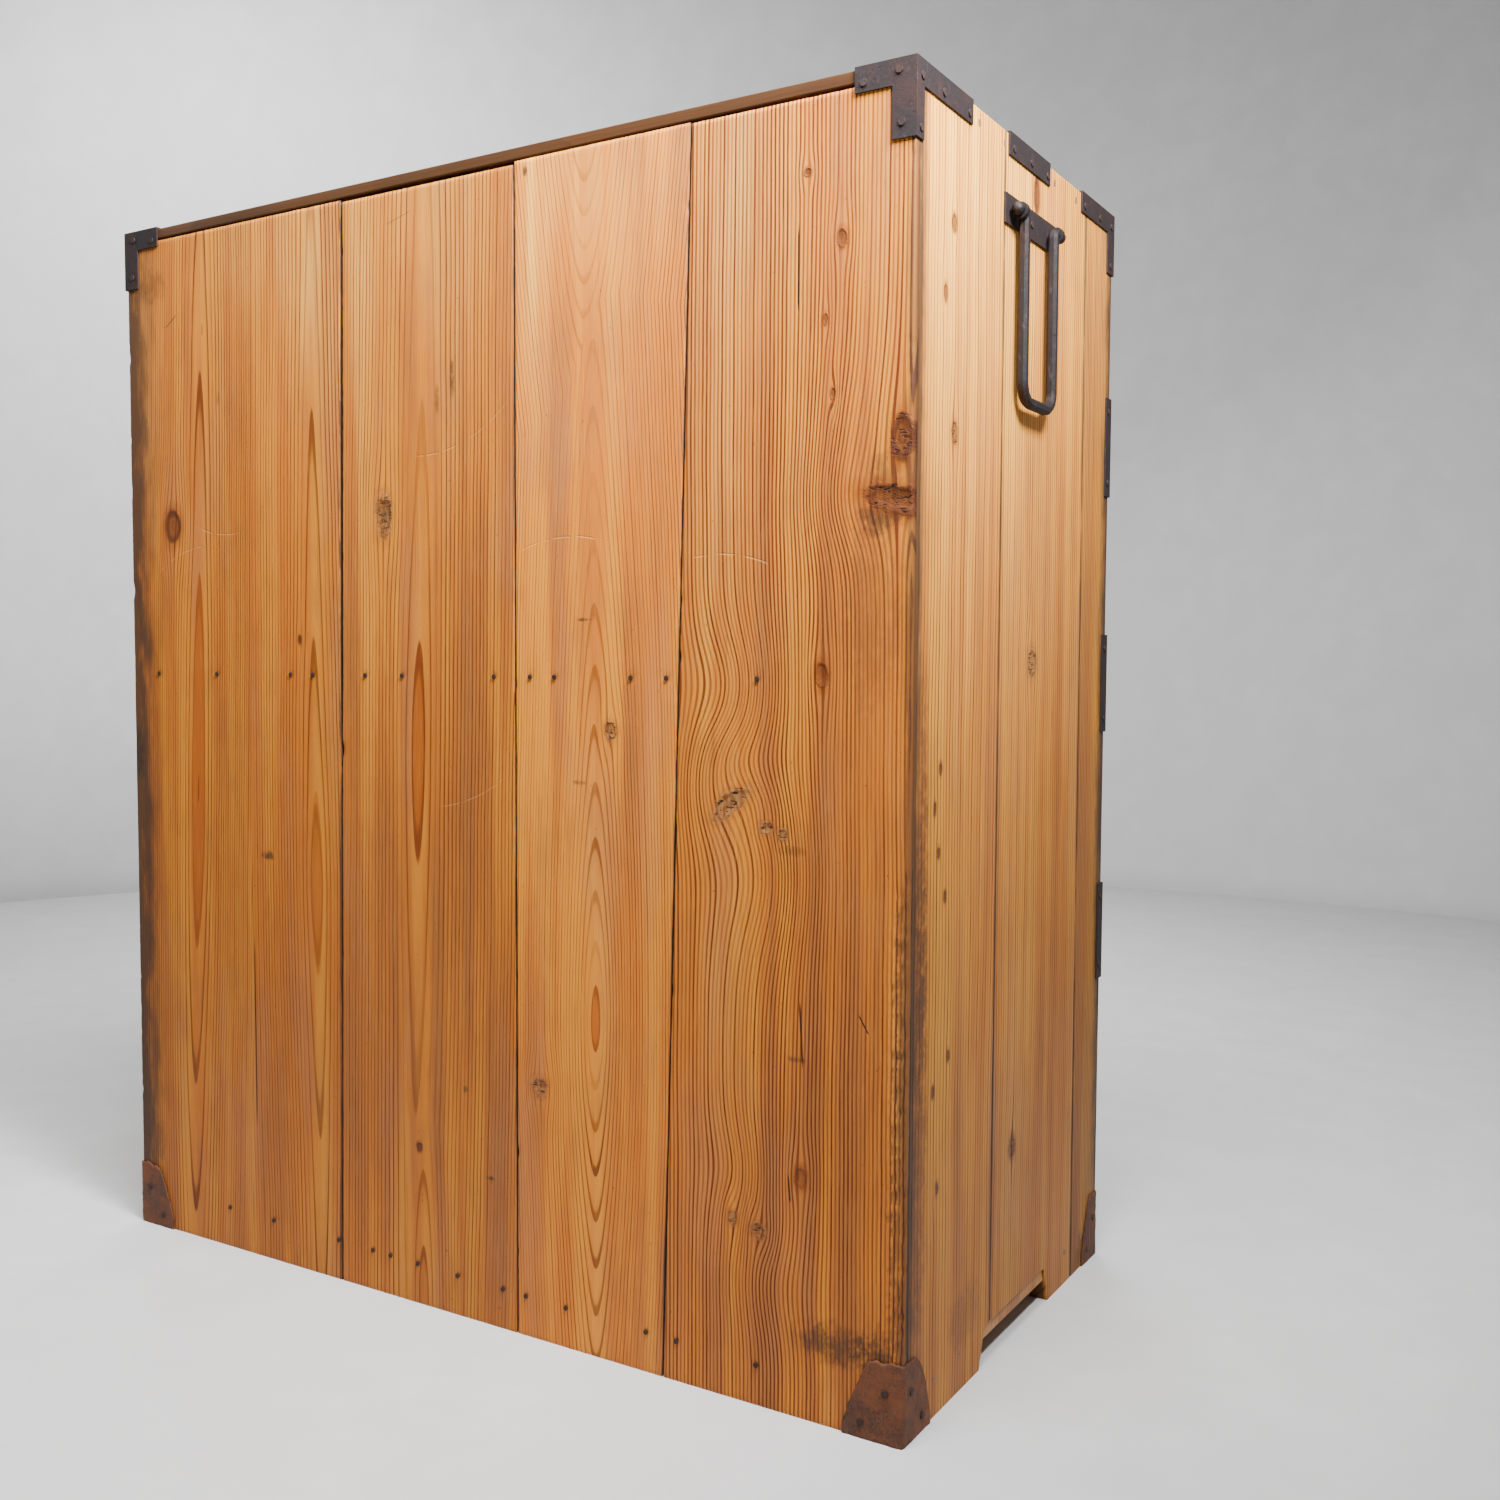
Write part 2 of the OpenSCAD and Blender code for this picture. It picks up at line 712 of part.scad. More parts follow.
for (i = [0:3])
    back_board(i);
left_side_boards();
right_side_boards();
top_board();
bottom_board();
front_rails();
tier_shelves();
row_shelves();
drawer_dividers();
top_corner_irons();
top_edge_straps();
rail_end_irons();
foot_irons();
handle_plates();
handle_eyes();
left_handle();
right_handle();
iron_nails();
wooden_pegs();
for (r = [0:5], c = [0:row_cols[r] - 1])
    drawer(r, c);
for (r = [0:small_rows - 1], c = [0:row_cols[r] - 1])
    knob(r, c);
pull_plates(4, [0]);  // pull_plates_5_1
pull_plates(4, [1]);  // pull_plates_5_2
pull_plates(5, [0, 1]);  // pull_plates_6_1
for (r = [4, 5], c = [0, 1])
    drop_pull(r, c);
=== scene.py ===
"""The looks of an old cedar apothecary chest: worn cedar boards with knots and flames, forged iron
fittings, and a studio round it. Places and sizes on the chest are in millimetres, which MM turns into
metres; the studio, its lights and the camera are in metres."""

import math
import random
from dataclasses import dataclass

import bpy
from mathutils import Matrix, Vector, noise


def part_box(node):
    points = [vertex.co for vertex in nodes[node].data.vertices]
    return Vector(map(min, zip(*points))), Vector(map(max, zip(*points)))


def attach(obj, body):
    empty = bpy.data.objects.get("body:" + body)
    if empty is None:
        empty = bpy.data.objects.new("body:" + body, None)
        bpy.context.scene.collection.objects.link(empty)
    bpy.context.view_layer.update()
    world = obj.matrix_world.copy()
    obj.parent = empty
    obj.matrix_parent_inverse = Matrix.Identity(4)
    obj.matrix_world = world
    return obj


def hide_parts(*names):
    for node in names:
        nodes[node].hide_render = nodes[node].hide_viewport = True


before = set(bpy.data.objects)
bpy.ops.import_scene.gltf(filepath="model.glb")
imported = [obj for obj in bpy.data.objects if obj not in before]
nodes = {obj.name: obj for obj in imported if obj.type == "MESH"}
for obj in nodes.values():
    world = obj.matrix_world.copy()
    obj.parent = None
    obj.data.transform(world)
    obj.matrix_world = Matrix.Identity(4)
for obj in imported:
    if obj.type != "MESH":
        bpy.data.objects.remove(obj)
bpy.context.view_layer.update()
MM = 0.001
HEIGHT_MM = 1045


# ---- shader graphs ----------------------------------------------------------------------------

class Wire:
    """One output of a shader graph, which formulas can use like a number."""

    def __init__(self, graph, socket):
        self.graph, self.socket = graph, socket

    def __add__(self, other):
        return self.graph.math("ADD", self, other)

    def __radd__(self, other):
        return self.graph.math("ADD", other, self)

    def __sub__(self, other):
        return self.graph.math("SUBTRACT", self, other)

    def __rsub__(self, other):
        return self.graph.math("SUBTRACT", other, self)

    def __mul__(self, other):
        return self.graph.math("MULTIPLY", self, other)

    def __rmul__(self, other):
        return self.graph.math("MULTIPLY", other, self)

    def __truediv__(self, other):
        return self.graph.math("DIVIDE", self, other)


class Graph:
    """A material and short-hand for building its nodes."""

    def __init__(self, name):
        self.material = bpy.data.materials.new(name)
        self.material.use_nodes = True
        self.tree = self.material.node_tree
        self.tree.nodes.clear()
        self.shader = self.node("ShaderNodeBsdfPrincipled")
        out = self.node("ShaderNodeOutputMaterial")
        self.tree.links.new(self.shader.outputs["BSDF"], out.inputs["Surface"])

    def node(self, kind, **settings):
        made = self.tree.nodes.new(kind)
        for key, value in settings.items():
            setattr(made, key, value)
        return made

    def plug(self, socket, value):
        if isinstance(value, Wire):
            self.tree.links.new(value.socket, socket)
        elif isinstance(value, tuple) and len(value) == 3 and socket.type == "RGBA":
            socket.default_value = (*value, 1)
        else:
            socket.default_value = value

    def math(self, operation, *values):
        made = self.node("ShaderNodeMath", operation=operation)
        for socket, value in zip(made.inputs, values):
            self.plug(socket, value)
        return Wire(self, made.outputs[0])

    def place(self):
        """The point on the piece, in millimetres, as three wires."""
        coords = self.node("ShaderNodeTexCoord")
        split = self.node("ShaderNodeSeparateXYZ")
        self.tree.links.new(coords.outputs["Object"], split.inputs[0])
        return [Wire(self, out) * (1 / MM) for out in split.outputs]

    def vector(self, x, y, z):
        made = self.node("ShaderNodeCombineXYZ")
        for socket, value in zip(made.inputs, (x, y, z)):
            self.plug(socket, value)
        return Wire(self, made.outputs[0])

    def noise(self, point, size, detail=2.0, rough=0.5, stretch=(1, 1, 1)):
        """Soft noise from 0 to 1 at a point given as three wires; size is in millimetres."""
        scaled = [p * (1 / (size * s)) for p, s in zip(point, stretch)]
        made = self.node("ShaderNodeTexNoise", noise_dimensions="3D")
        self.plug(made.inputs["Vector"], self.vector(*scaled))
        made.inputs["Scale"].default_value = 1
        made.inputs["Detail"].default_value = detail
        made.inputs["Roughness"].default_value = rough
        return Wire(self, made.outputs[0])

    def random(self, value):
        made = self.node("ShaderNodeTexWhiteNoise", noise_dimensions="1D")
        self.plug(made.inputs["W"], value)
        return Wire(self, made.outputs[0])

    def step(self, low, high, value, to=(0, 1)):
        """Smooth step of a value from low to high; low may be above high."""
        made = self.node("ShaderNodeMapRange", interpolation_type="SMOOTHSTEP", clamp=True)
        flip = low > high
        ends = (high, low) if flip else (low, high)
        outs = (to[1], to[0]) if flip else to
        for socket, v in zip(made.inputs, (value, *ends, *outs)):
            self.plug(socket, v)
        return Wire(self, made.outputs[0])

    def blob(self, u, w, centre, size, lean=0.0):
        """A soft spot that is 1 at its centre and fades over its size."""
        du = u - centre[0]
        dw = w - centre[1]
        if lean:
            du = du - dw * lean
        du = du * (1 / size[0])
        dw = dw * (1 / size[1])
        return self.math("EXPONENT", (du * du + dw * dw) * -1.0)

    def mix(self, share, a, b, blend="MIX"):
        made = self.node("ShaderNodeMix", data_type="RGBA", blend_type=blend, clamp_factor=True)
        self.plug(made.inputs[0], share)
        self.plug(made.inputs[6], a)
        self.plug(made.inputs[7], b)
        return Wire(self, made.outputs[2])

    def bump(self, height, depth_mm):
        made = self.node("ShaderNodeBump")
        made.inputs["Distance"].default_value = depth_mm * MM
        self.plug(made.inputs["Height"], height)
        return Wire(self, made.outputs[0])

    def finish(self, colour, roughness, normal, **fixed):
        """Plugs the shader; fixed gives inputs that are the same all over, with _ for spaces."""
        for name, value in (("Base Color", colour), ("Roughness", roughness), ("Normal", normal)):
            self.plug(self.shader.inputs[name], value)
        for name, value in fixed.items():
            self.plug(self.shader.inputs[name.replace("_", " ")], value)
        return self.material


# ---- cedar ------------------------------------------------------------------------------------

EARLY = (0.58, 0.162, 0.012)
LATE = (0.135, 0.026, 0.004)
GOLD = (0.68, 0.240, 0.016)
DULL = (0.30, 0.110, 0.030)
# Pale wood, also used for the painted sheen and highlight at the top of the back and side boards.
PALE_AND_SHEEN = (0.84, 0.40, 0.075)
MAUVE = (0.44, 0.175, 0.070)
FLAME = (0.42, 0.095, 0.006)
# The colour of dirt, and also of the painted shade in hollows.
GRIME_AND_SHADE = (0.045, 0.026, 0.016)
KNOT = (0.070, 0.020, 0.008)
KNOT_RING = (0.17, 0.055, 0.014)
CREAM = (0.66, 0.33, 0.11)
HOLE = (0.010, 0.005, 0.003)
FLOOR_SHADE_TINT = (0.50, 0.50, 0.62)       # what the wood's colour is multiplied by in the painted shade towards the floor
FLOOR_SHADE_ENDS = (900, 120)             # heights between which the painted shade comes in
LINE_SOFT = 0.16                    # share of a ring over which a dark line comes in
HEART_CALM = 0.68                   # how dark the lines are at a heart, against those far from it
SEED_STEP = 517.0                   # how far apart two boards lie in the noise
WORN_OFFSET = 300                   # takes one noise away from the others
NAIL_RUST = (3.6, 4.6)              # half size of the dark spot round a nail
GRAIN_DEEP = 0.35


@dataclass
class Heart:
    """The middle of nested pointed rings: place, half width, and length up and down of the smallest.
    Well further out than side the grain runs straight, a ring every gap millimetres."""
    u: float
    w: float
    half: float
    up: float
    down: float
    power: float = 1.2
    fill: float = 0.6
    lean: float = 0.0
    side: float = 12.0
    gap: float = 8.0


@dataclass
class Knot:
    """A knot: place and half size; pinch pulls the grain round it, torn and slits break it up."""
    u: float
    w: float
    ru: float
    rw: float
    rings: float = 2.2
    dark: float = 0.8
    rim: float = 0.6
    torn: float = 0.4
    cream: float = 0.0
    slits: float = 0.0
    pinch: float = 0.7
    reach: float = 2.2
    slope: float = 0.0


@dataclass
class Board:
    """What one board's wood looks like. Axes names the chest's axes across, through and along it;
    every place is (across, along) in millimetres in the chest's frame."""
    name: str
    axes: str = "xyz"
    pith: tuple = (400, 80)     # used without hearts: where the middle of the log was
    ring: float = 4.5
    taper: float = 0.006
    hearts: tuple = ()
    bends: tuple = ()           # (u, w, reach across, reach along, shift of the grain)
    wander: float = 5.0
    knots: tuple = ()
    pale: tuple = ()            # (u, w, half width, half length, share) of a pale patch; those at the top of the back and side boards are painted sheen and highlight
    calm: tuple = ()            # the same, for where the dark lines are faint
    stains: tuple = ()          # the same, for dirt
    edges: tuple = ()           # (place at the floor, place at the top, width, share), for dirt
    scratches: tuple = ()       # (u, w, radius, from u, to u) of an arc
    cuts: tuple = ()            # (u, w, half length along, lean) of a dark split
    nails: tuple = ()
    early: tuple = EARLY
    gold: tuple = GOLD
    late: tuple = LATE
    contrast: float = 1.1
    line: float = 0.66          # where in a ring the dark line begins
    tone: float = 1.0
    floor_shade: float = 0.0        # how much darker and duller painted shade makes the board towards the floor, where less light falls
    seed: float = 0.0
    surface: float = 0.0        # where the board's face lies along the axis through it
    pit_shade: float = 0.0       # how much painted shade darkens what lies more than a millimetre below that face
    foot_dark: float = 0.0      # how dark the board is below that face near the floor, as in an arch


def grain_field(g, board, u, v, w):
    """Ring number at a place: whole numbers are the dark lines between one year and the next."""
    slow = [u, v, w + board.seed * SEED_STEP]
    wave = g.noise(slow, 150, 2.0, 0.5, (1.2, 1.2, 2.6)) - 0.5
    ripple = g.noise(slow, 20, 2.0, 0.5, (1.2, 1.2, 4.0)) - 0.5
    across = u + wave * (2 * board.wander) + ripple * (0.30 * board.wander)
    for cu, cw, su, sw, shift in board.bends:
        across = across - g.blob(u, w, (cu, cw), (su, sw)) * shift
    for k in board.knots:
        pull = g.blob(u, w, (k.u, k.w), (k.ru * k.reach, k.rw * k.reach * 1.8))
        across = k.u + (across - k.u) * (1 - pull * k.pinch)
    if not board.hearts:
        side = across - board.pith[0]
        deep = (v - board.surface) + board.pith[1] + w * board.taper
        deep = deep + (g.noise(slow, 120, 2.0, 0.5, (0.6, 1, 3.0)) - 0.5) * board.ring
        return g.math("SQRT", side * side + deep * deep) * (1 / board.ring), None
    rho = None
    for h in board.hearts:
        dw = w - h.w
        off = across - h.u - dw * h.lean
        du = off * (1 / h.half)
        straight = (g.math("SQRT", off * off + h.side ** 2) - h.side) * (1 / h.gap)
        t = g.math("MAXIMUM", dw, 0.0) * (1 / h.up) - g.math("MINIMUM", dw, 0.0) * (1 / h.down)
        near = g.math("POWER", du * du + t * t, 0.5 * h.power) + straight
        fill = g.step(1.02, 0.97, near) * h.fill
        if rho is None:
            rho, inside = near, fill
        else:
            inside = g.math("MAXIMUM", inside, fill)
            rho = g.math("MINIMUM", rho, near)
    return rho, inside


def add_knot(g, k, u, w, place, colour, height, late):
    """A knot's rings and dark rim, the torn pale wood round it, and its slits."""
    wobble = g.noise(place, 0.55 * (k.ru + k.rw), 3.0, 0.65) - 0.5
    du = (u - k.u) * (1 / k.ru)
    dw = (w - k.w - (u - k.u) * k.slope) * (1 / k.rw)
    dist = g.math("SQRT", du * du + dw * dw) + wobble * (0.4 + k.torn)
    inside = g.step(1.12, 0.86, dist)
    rim = g.step(0.55, 1.0, dist) * g.step(1.40, 1.0, dist)
    year = g.step(0.3, 0.9, g.math("FRACT", dist * k.rings + 0.2)) * 0.6 + 0.4
    core = g.mix(year, KNOT_RING, KNOT)
    colour = g.mix(g.step(2.2, 0.9, dist) * 0.55, colour, late)
    if k.cream:
        splinter = g.noise(place, 3.2, 3.0, 0.7, (1, 1, 2.5)) - 0.5
        torn = g.step(1.9, 0.9, dist + splinter * 2.4) * g.step(0.35, 0.62, splinter + 0.5)
        colour = g.mix(torn * k.cream, colour, CREAM)
    colour = g.mix(inside * k.dark, colour, core)
    colour = g.mix(rim * k.rim, colour, KNOT)
    height = height + rim * 0.8 - inside * 0.5
    if k.slits:
        slit = g.noise(place, 3.6, 2.0, 0.5, (1.9, 1, 0.55))
        cut = g.step(0.565, 0.62, slit) * g.step(1.45, 0.9, dist)
        colour = g.mix(cut * k.slits, colour, HOLE)
        height = height - cut * 2.2
    return colour, height


def late_wood(g, board, place):
    """How much of a year's dark line there is at a place, and the filled middles of the hearts."""
    rho, inside = grain_field(g, board, *place)
    rho = rho + (g.noise(place, 80, 1.0, 0.5, (1, 1, 7)) - 0.5) * 0.5
    ring_no, phase = g.math("FLOOR", rho), g.math("FRACT", rho)
    own = g.random(ring_no + board.seed)
    shade = g.step(0.40, 0.95, phase) * 0.30
    line = g.step(board.line, board.line + LINE_SOFT, phase) * 0.9
    late = g.math("MAXIMUM", shade, line) * g.step(1.0, 0.965, phase)
    fade = g.step(0.30, 0.60, g.noise(place, 110, 2.0, 0.55, (1, 1, 3)), (0.7, 1.0))
    late = late * (own * 0.6 + 0.4) * fade * board.contrast
    if board.hearts:
        late = late * g.step(0.5, 5.0, rho, (HEART_CALM, 1.0))
    for cu, cw, su, sw, share in board.calm:
        late = late * (1 - g.blob(place[0], place[2], (cu, cw), (su, sw)) * share)
    return late, inside


def bare_board(g, board, place, broad):
    """Colour and height of the board's wood before anything has happened to it, with painted sheen in some
    of its pale patches, and its dark lines.
    """
    u, _, w = place
    late, inside = late_wood(g, board, place)
    band = g.noise(place, 26, 2.0, 0.55, (1, 1, 26))
    patch = g.noise(place, 40, 4.0, 0.6, (1, 1, 2.5))
    fibre = g.noise(place, 1.5, 3.0, 0.6, (1, 1, 55))
    thread = g.noise(place, 0.6, 2.0, 0.6, (1, 1, 80))
    colour = g.mix(g.step(0.44, 0.64, band), board.early, board.gold)
    colour = g.mix(g.step(0.56, 0.34, band) * g.step(0.35, 0.6, broad) * 0.70, colour, DULL)
    colour = g.mix(g.step(0.46, 0.72, patch) * 0.34, colour, DULL)
    worn = g.noise([p + WORN_OFFSET for p in place], 60, 3.0, 0.6, (0.8, 1, 5))
    colour = g.mix(g.step(0.50, 0.66, worn) * 0.32, colour, MAUVE)
    # Pale patches: near the top of the back and side boards a painted sheen and highlight, elsewhere pale
    # streaks in the wood.
    for cu, cw, su, sw, share in board.pale:
        streak = g.step(0.40, 0.60, g.noise(place, 9, 2.0, 0.5, (1, 1, 30)), (0.35, 1.0))
        colour = g.mix(g.blob(u, w, (cu, cw), (su, sw)) * streak * share, colour, PALE_AND_SHEEN)
    if inside is not None:
        colour = g.mix(inside, colour, FLAME)
    colour = g.mix(late, colour, board.late)
    colour = g.mix(g.step(0.52, 0.74, fibre) * 0.30, colour, board.late)
    colour = g.mix(g.step(0.46, 0.28, thread) * 0.25, colour, PALE_AND_SHEEN)
    return colour, late * 0.8 + fibre * 0.45 + thread * 0.2, late


def add_dirt(g, board, place, colour):
    """Stains, and dirt along the edges."""
    u, _, w = place
    for cu, cw, su, sw, share in board.stains:
        rough = g.noise(place, 7, 5.0, 0.72, (1, 1, 1.7))
        spot = g.step(0.30, 0.62, g.blob(u, w, (cu, cw), (su, sw)) * (rough * 1.1 + 0.05))
        colour = g.mix(spot * share, colour, GRIME_AND_SHADE)
    for foot, top, width, share in board.edges:
        line = u - w * ((top - foot) / HEIGHT_MM) - foot
        near = g.math("EXPONENT", g.math("ABSOLUTE", line) * (-1.0 / width))
        dirt = near * (g.noise(place, 20, 4.0, 0.65, (1, 1, 4)) * 1.6)
        colour = g.mix(g.step(0.10, 0.60, dirt) * share, colour, GRIME_AND_SHADE)
    return colour


def add_scratch(g, scratch, place, colour, height):
    """A pale, broken scratch along an arc; it is the arc's upper half if the radius is above zero."""
    u, _, w = place
    cu, cw, radius, low, high = scratch
    du, dw = u - cu, w - cw
    off = g.math("ABSOLUTE", g.math("SQRT", du * du + dw * dw) - abs(radius))
    line = g.step(0.9, 0.3, off) * g.step(low - 8, low, u) * g.step(high + 8, high, u)
    line = line * g.step(0.40, 0.55, g.noise(place, 12, 2.0, 0.5))
    line = line * (g.step(-1, 1, dw) if radius > 0 else g.step(1, -1, dw))
    return g.mix(line * 0.28, colour, CREAM), height - line * 0.8


def add_cut(g, cut, place, colour, height):
    """A thin dark split along the grain."""
    u, _, w = place
    cu, cw, half, lean = cut
    off = g.math("ABSOLUTE", u - cu - (w - cw) * lean)
    body = g.step(half, 0.6 * half, g.math("ABSOLUTE", w - cw))
    split = g.step(1.1, 0.35, off + (1 - body)) * body
    return g.mix(split * 0.9, colour, HOLE), height - split * 2.0


def darken_below_face(g, board, place, colour):
    """Darkens what lies below the board's face: painted shade in the worn hollows and along the seams, and
    the cut faces near the floor.
    """
    u, v, w = place
    if board.pit_shade:
        # Painted shade in the worn hollows and the rims along the seams, more than about a millimetre below
        # the face.
        shaded_pit = g.step(0.75, 1.5, board.surface - v) * g.step(449, 446, g.math("ABSOLUTE", u))
        colour = g.mix(shaded_pit * board.pit_shade, colour, GRIME_AND_SHADE)
    if board.foot_dark:
        inner = g.step(1.0, 4.0, g.math("ABSOLUTE", v - board.surface)) * g.step(44, 34, w)
        colour = g.mix(inner * board.foot_dark, colour, GRIME_AND_SHADE)
    return colour


def wood(board):
    """Oiled old cedar with everything that has happened to the board, and painted shade and sheen."""
    g = Graph(board.name)
    by_axis = dict(zip("xyz", g.place()))
    place = [by_axis[a] for a in board.axes]
    u, _, w = place
    broad = g.noise(place, 170, 3.0, 0.55, (0.7, 1, 2.4))
    colour, height, late = bare_board(g, board, place, broad)
    colour = add_dirt(g, board, place, colour)
    for k in board.knots:
        colour, height = add_knot(g, k, u, w, place, colour, height, board.late)
    for nail in board.nails:
        rust = g.step(0.35, 1.0, g.blob(u, w, nail, NAIL_RUST))
        colour = g.mix(rust * 0.45, colour, GRIME_AND_SHADE)
    for scratch in board.scratches:
        colour, height = add_scratch(g, scratch, place, colour, height)
    for cut in board.cuts:
        colour, height = add_cut(g, cut, place, colour, height)
    colour = darken_below_face(g, board, place, colour)
    specks = g.noise(place, 2.2, 2.0, 0.5, (1, 1, 1.8))
    colour = g.mix(g.step(0.73, 0.79, specks) * 0.75, colour, KNOT)
    # Painted shade: the board darker and duller towards the floor, where less of the light from above
    # falls.
    if board.floor_shade:
        floor_shade_share = g.step(FLOOR_SHADE_ENDS[0], FLOOR_SHADE_ENDS[1], w + (broad - 0.5) * 500) * board.floor_shade
        colour = g.mix(floor_shade_share, colour, FLOOR_SHADE_TINT, "MULTIPLY")
    if board.tone != 1.0:
        colour = g.mix(1.0, colour, (board.tone,) * 3, "MULTIPLY")
    rough = g.noise(place, 30, 3.0, 0.6, (1, 1, 3)) * 0.20 + 0.40 + late * 0.10
    return g.finish(colour, rough, g.bump(height, GRAIN_DEEP), Specular_IOR_Level=0.14)


# ---- iron -------------------------------------------------------------------------------------

def iron(name, base, worn, rust, rust_share, dent_mm=0.25, roughness=0.58):
    """Old forged sheet: dark scale, rust in patches, brighter scuffs and a hammered surface."""
    g = Graph(name)
    place = g.place()
    cloud = g.noise(place, 26, 4.0, 0.62)
    grit = g.noise(place, 1.5, 4.0, 0.7)
    dents = g.noise(place, 8.5, 2.0, 0.5)
    pits = g.noise(place, 2.6, 3.0, 0.6)
    colour = g.mix(g.step(0.35, 0.72, grit), base, tuple(c * 1.75 for c in base))
    colour = g.mix(g.step(0.52 - 0.2 * rust_share, 0.80 - 0.2 * rust_share, cloud + (grit - 0.5) * 0.5)
                   * rust_share, colour, rust)
    scuff = g.step(0.58, 0.72, g.noise(place, 5.5, 3.0, 0.7, (1, 1, 2.2)))
    colour = g.mix(scuff * 0.45, colour, worn)
    colour = g.mix(g.step(0.64, 0.74, pits) * 0.7, colour, tuple(c * 0.35 for c in base))
    height = dents * 0.8 + grit * 0.22 - g.step(0.62, 0.74, pits) * 0.35
    normal = g.bump(height, dent_mm)
    rough = grit * 0.25 + roughness
    return g.finish(colour, rough, normal, Metallic=0.35, Specular_IOR_Level=0.3)


# ---- meshes -----------------------------------------------------------------------------------

WELD_MM = 0.01
SHARP = math.radians(35)        # a sharper edge than this is worn round


def islands(mesh):
    """The separate solids of a mesh, as lists of face numbers. Corners at one place count as one."""
    parent = {}

    def root(key):
        while parent[key] != key:
            parent[key] = parent[parent[key]]
            key = parent[key]
        return key

    keys = [tuple(round(c * 1e5) for c in v.co) for v in mesh.vertices]
    for key in keys:
        parent.setdefault(key, key)
    for face in mesh.polygons:
        first = root(keys[face.vertices[0]])
        for i in face.vertices[1:]:
            parent[root(keys[i])] = first
    groups = {}
    for face in mesh.polygons:
        groups.setdefault(root(keys[face.vertices[0]]), []).append(face.index)
    return list(groups.values())


def faces_box(mesh, faces):
    points = [mesh.vertices[i].co for f in faces for i in mesh.polygons[f].vertices]
    low = Vector([min(p[k] for p in points) for k in range(3)])
    high = Vector([max(p[k] for p in points) for k in range(3)])
    return low, high


def dress(name, materials, edge_mm=0.7, chooser=None):
    """Gives a CAD node its materials and softly worn edges. The chooser picks a material's number
    for each separate solid from its box."""
    obj = nodes[name]
    mesh = obj.data
    mesh.materials.clear()
    for material in materials:
        mesh.materials.append(material)
    numbers = [0] * len(mesh.polygons)
    if chooser:
        for faces in islands(mesh):
            pick = chooser(*faces_box(mesh, faces))
            for f in faces:
                numbers[f] = pick
    mesh.polygons.foreach_set("material_index", numbers)
    if "custom_normal" in mesh.attributes:
        mesh.attributes.remove(mesh.attributes["custom_normal"])
    mesh.polygons.foreach_set("use_smooth", [True] * len(mesh.polygons))
    weld = obj.modifiers.new("weld", "WELD")
    weld.merge_threshold = WELD_MM * MM
    bevel = obj.modifiers.new("worn edges", "BEVEL")
    bevel.width = edge_mm * MM
    bevel.segments = 2
    bevel.limit_method = "ANGLE"
    bevel.angle_limit = SHARP
    even = obj.modifiers.new("even normals", "WEIGHTED_NORMAL")
    even.keep_sharp = False


def new_piece(name, points, faces, material, body, replaced):
    """A piece in mesh code that rides on a body and stands in for CAD nodes."""
    mesh = bpy.data.meshes.new(name)
    mesh.from_pydata(points, [], faces)
    mesh.validate()
    mesh.update()
    mesh.polygons.foreach_set("use_smooth", [True] * len(mesh.polygons))
    obj = bpy.data.objects.new(name, mesh)
    bpy.context.scene.collection.objects.link(obj)
    mesh.materials.append(material)
    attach(obj, body)
    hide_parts(*replaced)


# ---- back boards ------------------------------------------------------------------------------

NEAR_EDGE = [0, 0.9, 2.2, 4, 6.5, 9.5, 13]
PLANK_STEP = 3.2


def rough_noise(x, z, size, seed):
    return noise.noise(Vector((x / size, z / size, seed * 7.3)))


def plank_columns(width):
    """Places across a board where its mesh has a line of points: closer together near the edges."""
    inner = max(2, round((width - 2 * NEAR_EDGE[-1]) / 5.5))
    middle = [NEAR_EDGE[-1] + (width - 2 * NEAR_EDGE[-1]) * i / inner for i in range(1, inner)]
    return NEAR_EDGE + middle + [width - d for d in reversed(NEAR_EDGE)]


def plank_face(low, high, edges, sink, worn):
    """Points of a board's weathered face, row by row, and the numbers of each row's points."""
    width = high.x - low.x
    steps_z = max(2, round((high.z - low.z) / PLANK_STEP))
    points, rows = [], []
    for j in range(steps_z + 1):
        z = low.z + (high.z - low.z) * j / steps_z
        left, right = edges(z)
        wear_l, wear_r = worn(z)
        row = []
        for c in plank_columns(width):
            x = left + wear_l + (right - left - wear_l - wear_r) * (c / width)
            from_edge = min(x - left, right - x)
            drop = sink(x, z, from_edge)
            end = min(z - low.z, high.z - z)
            if from_edge < 1.2 or end < 0.1:
                drop = max(drop, 0.5 + 0.4 * rough_noise(x, z, 5, 3))
            row.append(len(points))
            points.append((x * MM, (high.y - max(0.0, drop)) * MM, z * MM))
        rows.append(row)
    return points, rows


def plank(name, node, material, edges, sink, worn):
    """A weathered back board round its CAD node. Edges give the board's left and right side at a
    height, sink how far its face lies below the CAD's at a place, and worn how far the two upright
    edges have worn away at a height. All in millimetres."""
    low, high = (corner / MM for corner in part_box(node))
    points, rows = plank_face(low, high, edges, sink, worn)
    faces = [(a[i + 1], a[i], b[i], b[i + 1]) for a, b in zip(rows, rows[1:]) for i in range(len(a) - 1)]
    rim = (rows[0] + [row[-1] for row in rows[1:]] + list(reversed(rows[-1][:-1]))
           + [row[0] for row in reversed(rows[1:-1])])
    start, count = len(points), len(rim)
    points += [(points[i][0], low.y * MM, points[i][2]) for i in rim]
    for k in range(count):
        n = (k + 1) % count
        faces.append((rim[k], rim[n], start + n, start + k))
    faces.append(tuple(range(start, start + count)))
    new_piece(name, points, faces, material, "case", (node,))


